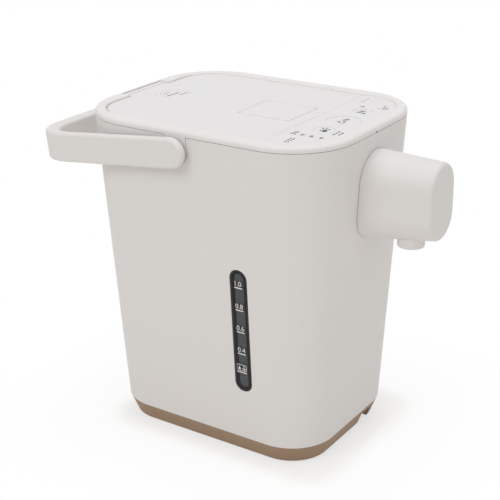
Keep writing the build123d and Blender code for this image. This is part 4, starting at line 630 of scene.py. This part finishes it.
# %% Pinhole and pry notch
RIM_FRONT = -101.33
RIM_SEAM = 236.0
pinhole = bmesh.new()
dot(pinhole, (-10.3, 76.2), radius=0.55)
printed("vent_pinhole", pinhole, top_face("control_panel"), painted_shade_black, "lid")
notch = bmesh.new()
plate(notch, (-1.4, 0), width=2.0, height=0.8, corner=0.3)
notch_face = face_frame(at(0, RIM_FRONT, RIM_SEAM), (1, 0, 0), (0, 0, 1))
printed("pry_notch", notch, notch_face, painted_shade_black, "housing")

# %% [markdown]
# Lips, strips and the nozzle each keep one section all along. Round ones are that section spun about an
# upright axis, and straight ones are the section drawn out along the pot's width. Both start from a few
# points in millimetres, as on a drawing.

# %% Spun and drawn-out forms
def turned(form, centre, outline_points, sweep=360, start=0, steps=64):
    """Spin a closed outline of (radius, height) points, in millimetres, about an upright axis."""
    turn = Matrix.Rotation(math.radians(start), 3, "Z")
    verts = [form.verts.new(centre + turn @ Vector((r, 0, z)) * MM) for r, z in outline_points]
    edges = [form.edges.new(pair) for pair in zip(verts, verts[1:] + verts[:1])]
    bmesh.ops.spin(
        form,
        geom=verts + edges,
        cent=centre,
        axis=(0, 0, 1),
        angle=math.radians(sweep),
        steps=steps,
        use_merge=sweep == 360,
    )
    if sweep < 360:
        bmesh.ops.holes_fill(form, edges=form.edges[:], sides=len(outline_points))
    bmesh.ops.recalc_face_normals(form, faces=form.faces[:])


def bar(form, outline_points, left, right):
    """Bar along the width with a closed outline of (y, z) points, in millimetres."""
    verts = [form.verts.new(at(left, y, z)) for y, z in outline_points]
    face = form.faces.new(verts)
    side = bmesh.ops.extrude_face_region(form, geom=[face])["geom"]
    moved = [part for part in side if isinstance(part, bmesh.types.BMVert)]
    bmesh.ops.translate(form, verts=moved, vec=((right - left) * MM, 0, 0))
    bmesh.ops.recalc_face_normals(form, faces=form.faces[:])


trial = bmesh.new()
bar(trial, [(0, 0), (1, 0), (1, 1), (0, 1)], -1, 1)
print("a square bar has", len(trial.faces), "faces")
trial.free()

# %% [markdown]
# The keys and the panel have soft lips that nearly close the gaps round them, so that the seams are hardly
# seen from above. A lip is a thin ring or bar, a tenth of a millimetre below the surface. It rides on the
# part that it belongs to and stays clear of the other one when a key goes down or the lid opens.

# %% Lips of the keys and the panel
PLATE_TOP = 239.2
LIP_DROP = 0.12
LIP_TOP = PLATE_TOP - LIP_DROP
LIP_FOOT = PLATE_TOP - 1.8
KEYS_Y = -75.3


def upright(front, rear):
    """Section of a straight lip between two places along the pot's depth."""
    return [(front, LIP_FOOT), (rear, LIP_FOOT), (rear, LIP_TOP), (front, LIP_TOP)]


for key, x, radius in (("unlock_key", -26, 7.6), ("dispense_key", 0, 12.0), ("temperature_key", 26, 7.6)):
    lip = bmesh.new()
    inner, outer = radius - 0.3, radius + 0.18
    section = [(inner, -1.6), (outer, -1.6), (outer, -LIP_DROP), (inner, -LIP_DROP)]
    turned(lip, at(x, KEYS_Y, PLATE_TOP), section)
    piece(key + "_lip", lip, plate_abs, key, 40)

seam_lip = bmesh.new()
bar(seam_lip, upright(-54.7, -53.85), -67.2, 67.2)
piece("panel_lip", seam_lip, plate_abs, "housing")

# %% [markdown]
# The rim has such a lip as well. It is a thin rounded frame just below the lid's surface, all the way round
# but for the hinge, where the lid needs the room. One more lip rounds off a corner of the lever's opening.
# Both are flat, so they are drawn like the marks and given a film's thickness.

# %% Lips of the rim and of the lever's corner
RIM_CUT = 23.4
lip_level = face_frame(at(0, 0, PLATE_TOP - 0.2), (1, 0, 0), (0, 1, 0))


def at_hinge(face):
    """True for the piece of the frame behind the lid that the two cuts leave between them."""
    middle = face.calc_center_median()
    return middle.y > 80 and abs(middle.x) < RIM_CUT


rim_lip = bmesh.new()
outline(rim_lip, (0, 0), width=136.6, height=182.3, corner=27.8, line=0.75)
for side in (-1, 1):
    whole = rim_lip.verts[:] + rim_lip.edges[:] + rim_lip.faces[:]
    bmesh.ops.bisect_plane(rim_lip, geom=whole, plane_co=(side * RIM_CUT, 0, 0), plane_no=(1, 0, 0))
hinge_gap = [face for face in rim_lip.faces if at_hinge(face)]
bmesh.ops.delete(rim_lip, geom=hinge_gap, context="FACES")
printed("rim_lip", rim_lip, lip_level, rim_abs_painted_lighter, "housing")

corner_lip = bmesh.new()
arc(corner_lip, (-16.0, -40.4), radius=3.6, width=0.9, start=180, sweep=90)
printed("lever_corner_lip", corner_lip, lip_level, plate_abs, "lid")

# %% [markdown]
# The lever turns on a round knuckle, and a round knuckle leaves an open groove behind it. A strip on the
# knuckle and a second one on the wall behind fill that groove. Their faces follow circles about the pin, so
# they never touch, and the seam stays half a millimetre wide. Straight lips close the other three sides.

# %% Strips and lips of the lever
LEVER_PIN = (-4.0, 236.1)


def about(pin, points):
    """Points of (y, z) that are counted from a pin, as points on the pot."""
    return [(pin[0] + y, pin[1] + z) for y, z in points]


lever_lips = bmesh.new()
wall_strip = [(2.0, 3.0), (2.55, 2.55), (3.0, 2.0), (3.35, 1.35), (3.7, 1.35), (3.7, 3.0)]
bar(lever_lips, about(LEVER_PIN, wall_strip), -19.4, 19.4)
for side in (-1, 1):
    bar(lever_lips, upright(-43.3, -2.2), side * 19.15, side * 19.6)
bar(lever_lips, upright(-44.0, -43.6), -16.0, 16.0)
piece("lever_lips", lever_lips, plate_abs, "lid")
lever_strip = bmesh.new()
bar(lever_strip, about(LEVER_PIN, [(0, 2.7), (1.6, 2.5), (1.6, 3.1), (0, 3.1)]), -18.9, 18.9)
piece("lever_strip", lever_strip, plate_abs, "lever")

# %% [markdown]
# The lid's hinge has the same groove. A nose on the lid reaches back over the knuckle, and an arch on the
# rim comes to meet it. The lid opens by a right angle, so the arch has to stay outside the circle that the
# lid's edge sweeps about the pin. That leaves a fine line between the two.

# %% Strips of the lid's hinge
HINGE_PIN = (95.2, 236.5)
HINGE_HALF = 22.5
lid_strip = bmesh.new()
nose = [(0, 2.8), (1.7, 2.3), (1.95, 2.85), (1.5, 3.15), (0, 3.15)]
bar(lid_strip, about(HINGE_PIN, nose), -HINGE_HALF + 0.1, HINGE_HALF - 0.1)
piece("lid_strip", lid_strip, plate_abs, "lid")
rim_strip = bmesh.new()
arch = [(2.85, 3.4), (2.85, 2.9), (3.1, 2.6), (3.35, 2.2), (3.55, 1.85), (3.65, 1.85), (3.65, 3.4)]
bar(rim_strip, about(HINGE_PIN, arch), -HINGE_HALF - 0.45, HINGE_HALF + 0.45)
piece("rim_strip", rim_strip, rim_abs_painted_lighter, "housing")

# %% [markdown]
# The nozzle is a short round spout of ABS that points down. Its mouth is stepped inwards, so that the water
# leaves in one smooth jet. A turned part is quickest as a spun outline.

# %% Nozzle
NOZZLE_Y = -129.0
nozzle_form = bmesh.new()
outer = [(11.0, 175.0), (11.0, 173.0), (9.5, 173.0), (9.5, 161.3), (9.15, 160.55), (8.4, 160.2)]
inner = [(7.0, 160.2), (6.7, 160.9), (5.6, 161.1), (5.3, 162.4), (4.6, 162.8), (4.6, 175.0)]
turned(nozzle_form, at(0, NOZZLE_Y, 0), outer + inner)
nozzle_piece = piece("nozzle_turned", nozzle_form, shell_abs, "housing", 50)
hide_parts("nozzle")

# %% [markdown]
# Steam leaves through a flush round cap in the lid. It has three low hoods that open towards the front. The
# cap is a disc that is extruded and softened at its edge. Each hood is a sphere, flattened to a low dome and
# sunk in the disc. The mouth in front of it is not cut: a narrow black lens of painted shade, given by its
# middle, length and depth, stands in its place.

# %% Steam cap with its hoods
CAP_RADIUS = 10.9
CAP_Y = 66.5
CAP_HEIGHT = 0.8
HOOD_DEPTH = 1.6
HOOD_RISE = 0.4
MOUTHS = ((-3.4, 66.2, 14.0, 1.3), (2.6, 60.9, 8.0, 0.9), (-3.6, 72.0, 8.0, 0.5))
cap_form = bmesh.new()
bmesh.ops.create_circle(cap_form, cap_ends=True, segments=72, radius=CAP_RADIUS)
lifted = bmesh.ops.extrude_face_region(cap_form, geom=cap_form.faces[:])["geom"]
crown = [part for part in lifted if isinstance(part, bmesh.types.BMFace)][0]
bmesh.ops.translate(cap_form, verts=crown.verts[:], vec=(0, 0, CAP_HEIGHT))
soft_edge = {"affect": "EDGES", "offset": 0.2, "segments": 3, "profile": 0.5, "material": -1}
bmesh.ops.bevel(cap_form, geom=crown.edges[:], **soft_edge)
cap_place = Matrix.Translation(at(0, CAP_Y, PLATE_TOP - 0.78)) @ Matrix.Scale(MM, 4)
bmesh.ops.transform(cap_form, verts=cap_form.verts[:], matrix=cap_place)
bmesh.ops.recalc_face_normals(cap_form, faces=cap_form.faces[:])

# painted shade: each mouth's opening is a flat black lens on the cap
mouth_shadows = bmesh.new()
for x, y, length, depth in MOUTHS:
    slant = Matrix.Translation((x, y, 0)) @ Matrix.Rotation(math.radians(-8), 4, "Z")
    lens = bmesh.ops.create_circle(mouth_shadows, cap_ends=True, segments=32, radius=0.5)["verts"]
    bmesh.ops.transform(mouth_shadows, verts=lens, matrix=slant @ Matrix.Diagonal((length, depth, 1, 1)))
    hood = bmesh.ops.create_uvsphere(cap_form, u_segments=40, v_segments=16, radius=1)["verts"]
    bmesh.ops.scale(cap_form, verts=hood, vec=(length / 2, HOOD_DEPTH, HOOD_RISE))
    hood_place = top_face("control_panel") @ slant @ Matrix.Translation((0, 1.7, 0))
    bmesh.ops.transform(cap_form, verts=hood, matrix=hood_place)
steam_cap_piece = piece("steam_cap_hooded", cap_form, plate_abs, "lid", 35)
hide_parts("steam_cap")
printed("steam_cap_mouth_shadows", mouth_shadows, top_face("control_panel"), painted_shade_black, "lid")

# %% [markdown]
# With the lid open, its metal underside shows. The inner lid is drawn from thin sheet. Two ring beads and a
# boss are pressed into it, so that the sheet doesn't drum and the drops run off. A bead is a low hump that
# is spun about the middle, and the boss is a flat cone that is turned over.

# %% Beads of the inner lid
VESSEL_Y = 14
BEAD = ((-1.6, 0.3), (-0.9, -0.35), (0, -0.6), (0.9, -0.35), (1.6, 0.3))
beads = bmesh.new()
for radius in (24.0, 37.0):
    hump = [(radius + across, drop) for across, drop in BEAD]
    turned(beads, at(0, VESSEL_Y, 208.0), hump)
boss_size = {"radius1": 9.0 * MM, "radius2": 7.6 * MM, "depth": 1.2 * MM}
boss = bmesh.ops.create_cone(beads, cap_ends=True, segments=48, **boss_size)["verts"]
bmesh.ops.rotate(beads, verts=boss, cent=(0, 0, 0), matrix=Matrix.Rotation(math.pi, 3, "X"))
bmesh.ops.translate(beads, verts=boss, vec=at(0, VESSEL_Y, 207.8))
piece("inner_lid_beads", beads, brushed_steel, "lid", 35)

# %% [markdown]
# The vessel has level lines etched on its rear wall, at the heights of the gauge's lines. The highest and
# the refill line are longer. Each is a thin band, spun over part of a turn just inside the wall.

# %% Level lines in the vessel
BAND = [(60.93, -0.4), (61.2, -0.4), (61.2, 0.4), (60.93, 0.4)]
level_lines = bmesh.new()
for height, sweep in ((134.0, 34), (116.8, 20), (99.7, 20), (82.6, 20), (67.7, 34)):
    turned(level_lines, at(0, VESSEL_Y, height), BAND, sweep, start=90 - sweep / 2, steps=12)
piece("vessel_level_lines", level_lines, grey_ink, "housing")

# %% [markdown]
# The four screws under the base are cross-head screws. The cross is a narrow stamped hollow that is not cut
# here: two crossed black strokes on each head are painted shade in its place.

# %% Painted shade in the crosses of the screws
CROSS = 1.4
HEAD_HEIGHT = 0.8
cross_shadows = bmesh.new()
for x in (-47.0, 47.0):
    for y in (-65.0, 65.0):
        stroke(cross_shadows, (x - CROSS, y), (x + CROSS, y), 0.75)
        stroke(cross_shadows, (x, y - CROSS), (x, y + CROSS), 0.75)
under = face_frame(at(0, 0, HEAD_HEIGHT), (1, 0, 0), (0, -1, 0))
printed("base_screw_cross_shadows", cross_shadows, under, painted_shade_black, "housing")

# %% [markdown]
# The studio is a pale floor under soft lamps. The photograph has a white background with a faint warm shadow
# round the base. One large disc is enough for a floor: it is nearly white and takes the real shadow.

# %% Floor
floor_mesh = bpy.data.meshes.new("floor")
floor_form = bmesh.new()
bmesh.ops.create_circle(floor_form, cap_ends=True, segments=96, radius=6.0)
floor_form.to_mesh(floor_mesh)
floor_form.free()
floor = bpy.data.objects.new("floor", floor_mesh)
bpy.context.scene.collection.objects.link(floor)
floor_look = {"Base_Color": paint("#F6F3EF"), "Roughness": 0.9, "Specular_IOR_Level": 0.1}
floor_paint, floor_tree, floor_shader = finish("pale_floor", **floor_look)
floor_mesh.materials.append(floor_paint)
print("floor:", floor.name, "on the stage")

# %% [markdown]
# The floor passes into plain white light away from the pot. How far a point is from the pot's foot is worked
# out in its material: what is left of its place beyond a rectangle under the pot. Two soft steps turn that
# into a fade, a short one close to the foot and a wide one round it. Each has a start, an end and the share
# of white that it begins with, in metres and as part of one.

# %% How the floor fades
VECTOR = "ShaderNodeVectorMath"
FOOT = (0.05, 0.07, 0)
FADES = ((0.015, 0.035, 0.72), (0.02, 0.14, 0.91))
spot = add(floor_tree, "ShaderNodeTexCoord")
spot = add(floor_tree, VECTOR, {"operation": "ABSOLUTE"}, links={0: spot.outputs["Object"]})
spot = add(floor_tree, VECTOR, {"operation": "SUBTRACT"}, {1: FOOT}, {0: spot.outputs[0]})
spot = add(floor_tree, VECTOR, {"operation": "MAXIMUM"}, {1: (0, 0, 0)}, {0: spot.outputs[0]})
away = add(floor_tree, VECTOR, {"operation": "LENGTH"}, links={0: spot.outputs[0]}).outputs["Value"]
steps = []
for nearest, furthest, least in FADES:
    reach = {"From Min": nearest, "From Max": furthest, "To Min": least}
    step = add(floor_tree, "ShaderNodeMapRange", {"interpolation_type": "SMOOTHSTEP"}, reach, {"Value": away})
    steps.append(step.outputs[0])
fade = add(floor_tree, "ShaderNodeMath", {"operation": "MULTIPLY"}, links={0: steps[0], 1: steps[1]})
print("the floor is plain white from", round((FOOT[1] + FADES[1][1]) * 1000), "mm on")

# %% [markdown]
# Camera, mirror and glass rays see the white light, while the lamps alone give the light that falls on the
# pot, so the colours stay as they are painted. One function finds those rays, for the floor and the world.

# %% White for the rays that see the background
def plain_rays(tree):
    """1 for camera, glossy and transmission rays, otherwise 0."""
    rays = add(tree, "ShaderNodeLightPath")
    seen = rays.outputs["Is Camera Ray"]
    for kind in ("Is Glossy Ray", "Is Transmission Ray"):
        either = {0: seen, 1: rays.outputs[kind]}
        seen = add(tree, "ShaderNodeMath", {"operation": "MAXIMUM"}, links=either).outputs[0]
    return seen


white = add(floor_tree, "ShaderNodeEmission", values={"Color": (1, 1, 1, 1), "Strength": 1.0})
faded = {0: plain_rays(floor_tree), 1: fade.outputs[0]}
share = add(floor_tree, "ShaderNodeMath", {"operation": "MULTIPLY"}, links=faded)
both = {0: share.outputs[0], 1: floor_shader.outputs[0], 2: white.outputs[0]}
blend = add(floor_tree, "ShaderNodeMixShader", links=both)
floor_tree.links.new(blend.outputs[0], floor_tree.nodes["Material Output"].inputs["Surface"])

world = bpy.data.worlds.new("studio")
bpy.context.scene.world = world
world.use_nodes = True
sky = world.node_tree
sky.nodes.clear()
soft = add(sky, "ShaderNodeBackground", values={"Color": (1.0, 0.997, 0.992, 1), "Strength": 0.5})
plain = add(sky, "ShaderNodeBackground", values={"Color": (1, 1, 1, 1), "Strength": 1.0})
both = {0: plain_rays(sky), 1: soft.outputs[0], 2: plain.outputs[0]}
either = add(sky, "ShaderNodeMixShader", links=both)
add(sky, "ShaderNodeOutputWorld", links={"Surface": either.outputs[0]})
print("nodes in the floor and the sky:", len(floor_tree.nodes), len(sky.nodes))

# %% [markdown]
# Three large round lamps light the pot: one from the gauge's side, a weak one from the front and one from
# above. Large lamps give soft shadows, as a studio's cloth-covered ones do, and their levels are low
# enough that the white plastic doesn't burn out.

# %% Lamps
def lamp(name, place, target, size, watts, colour):
    """Round area lamp that points at its target."""
    light = bpy.data.lights.new(name, "AREA")
    light.shape = "DISK"
    light.size = size
    light.energy = watts
    light.color = colour
    lamp_object = bpy.data.objects.new(name, light)
    lamp_object.location = place
    lamp_object.rotation_euler = (Vector(target) - Vector(place)).to_track_quat("-Z", "Y").to_euler()
    bpy.context.scene.collection.objects.link(lamp_object)


POT_MIDDLE = (0, 0, 0.12)
lamp("key_lamp", (-1.45, 0.3, 1.45), POT_MIDDLE, size=1.1, watts=7.8, colour=(1.0, 0.995, 0.99))
lamp("front_lamp", (-0.5, -1.6, 0.9), POT_MIDDLE, size=1.2, watts=2.2, colour=(1.0, 0.99, 0.98))
lamp("top_lamp", (0.2, -0.1, 1.7), POT_MIDDLE, size=1.2, watts=7.0, colour=(0.99, 0.995, 1.0))
bpy.context.scene.view_settings.view_transform = "Standard"
print("lamps:", len(bpy.data.lights))

# %% [markdown]
# The camera repeats the photograph: it stands by the gauge's side, above the lid, and looks down at the pot
# by 22 degrees. Its place and lens come from matching the corners of the body to the picture.

# %% Camera
SENSOR = 36.0
PHOTO_WIDTH = 500
FOCAL_PIXELS = 1208.82
eye = at(-690.61, -460.77, 465.69)
right = Vector((0.55291, -0.83317, -0.01109))
up = Vector((0.31867, 0.19915, 0.92671))
forward = Vector((0.76989, 0.51592, -0.37562))
camera_data = bpy.data.cameras.new("camera")
camera_data.sensor_width = SENSOR
camera_data.lens = SENSOR * FOCAL_PIXELS / PHOTO_WIDTH
camera_data.clip_start = 0.01
camera = bpy.data.objects.new("camera", camera_data)
camera.matrix_world = Matrix.Translation(eye) @ Matrix((right, up, -forward)).transposed().to_4x4()
bpy.context.scene.collection.objects.link(camera)
bpy.context.scene.camera = camera
print("camera at", [round(v, 4) for v in eye], "lens", round(camera_data.lens, 2))
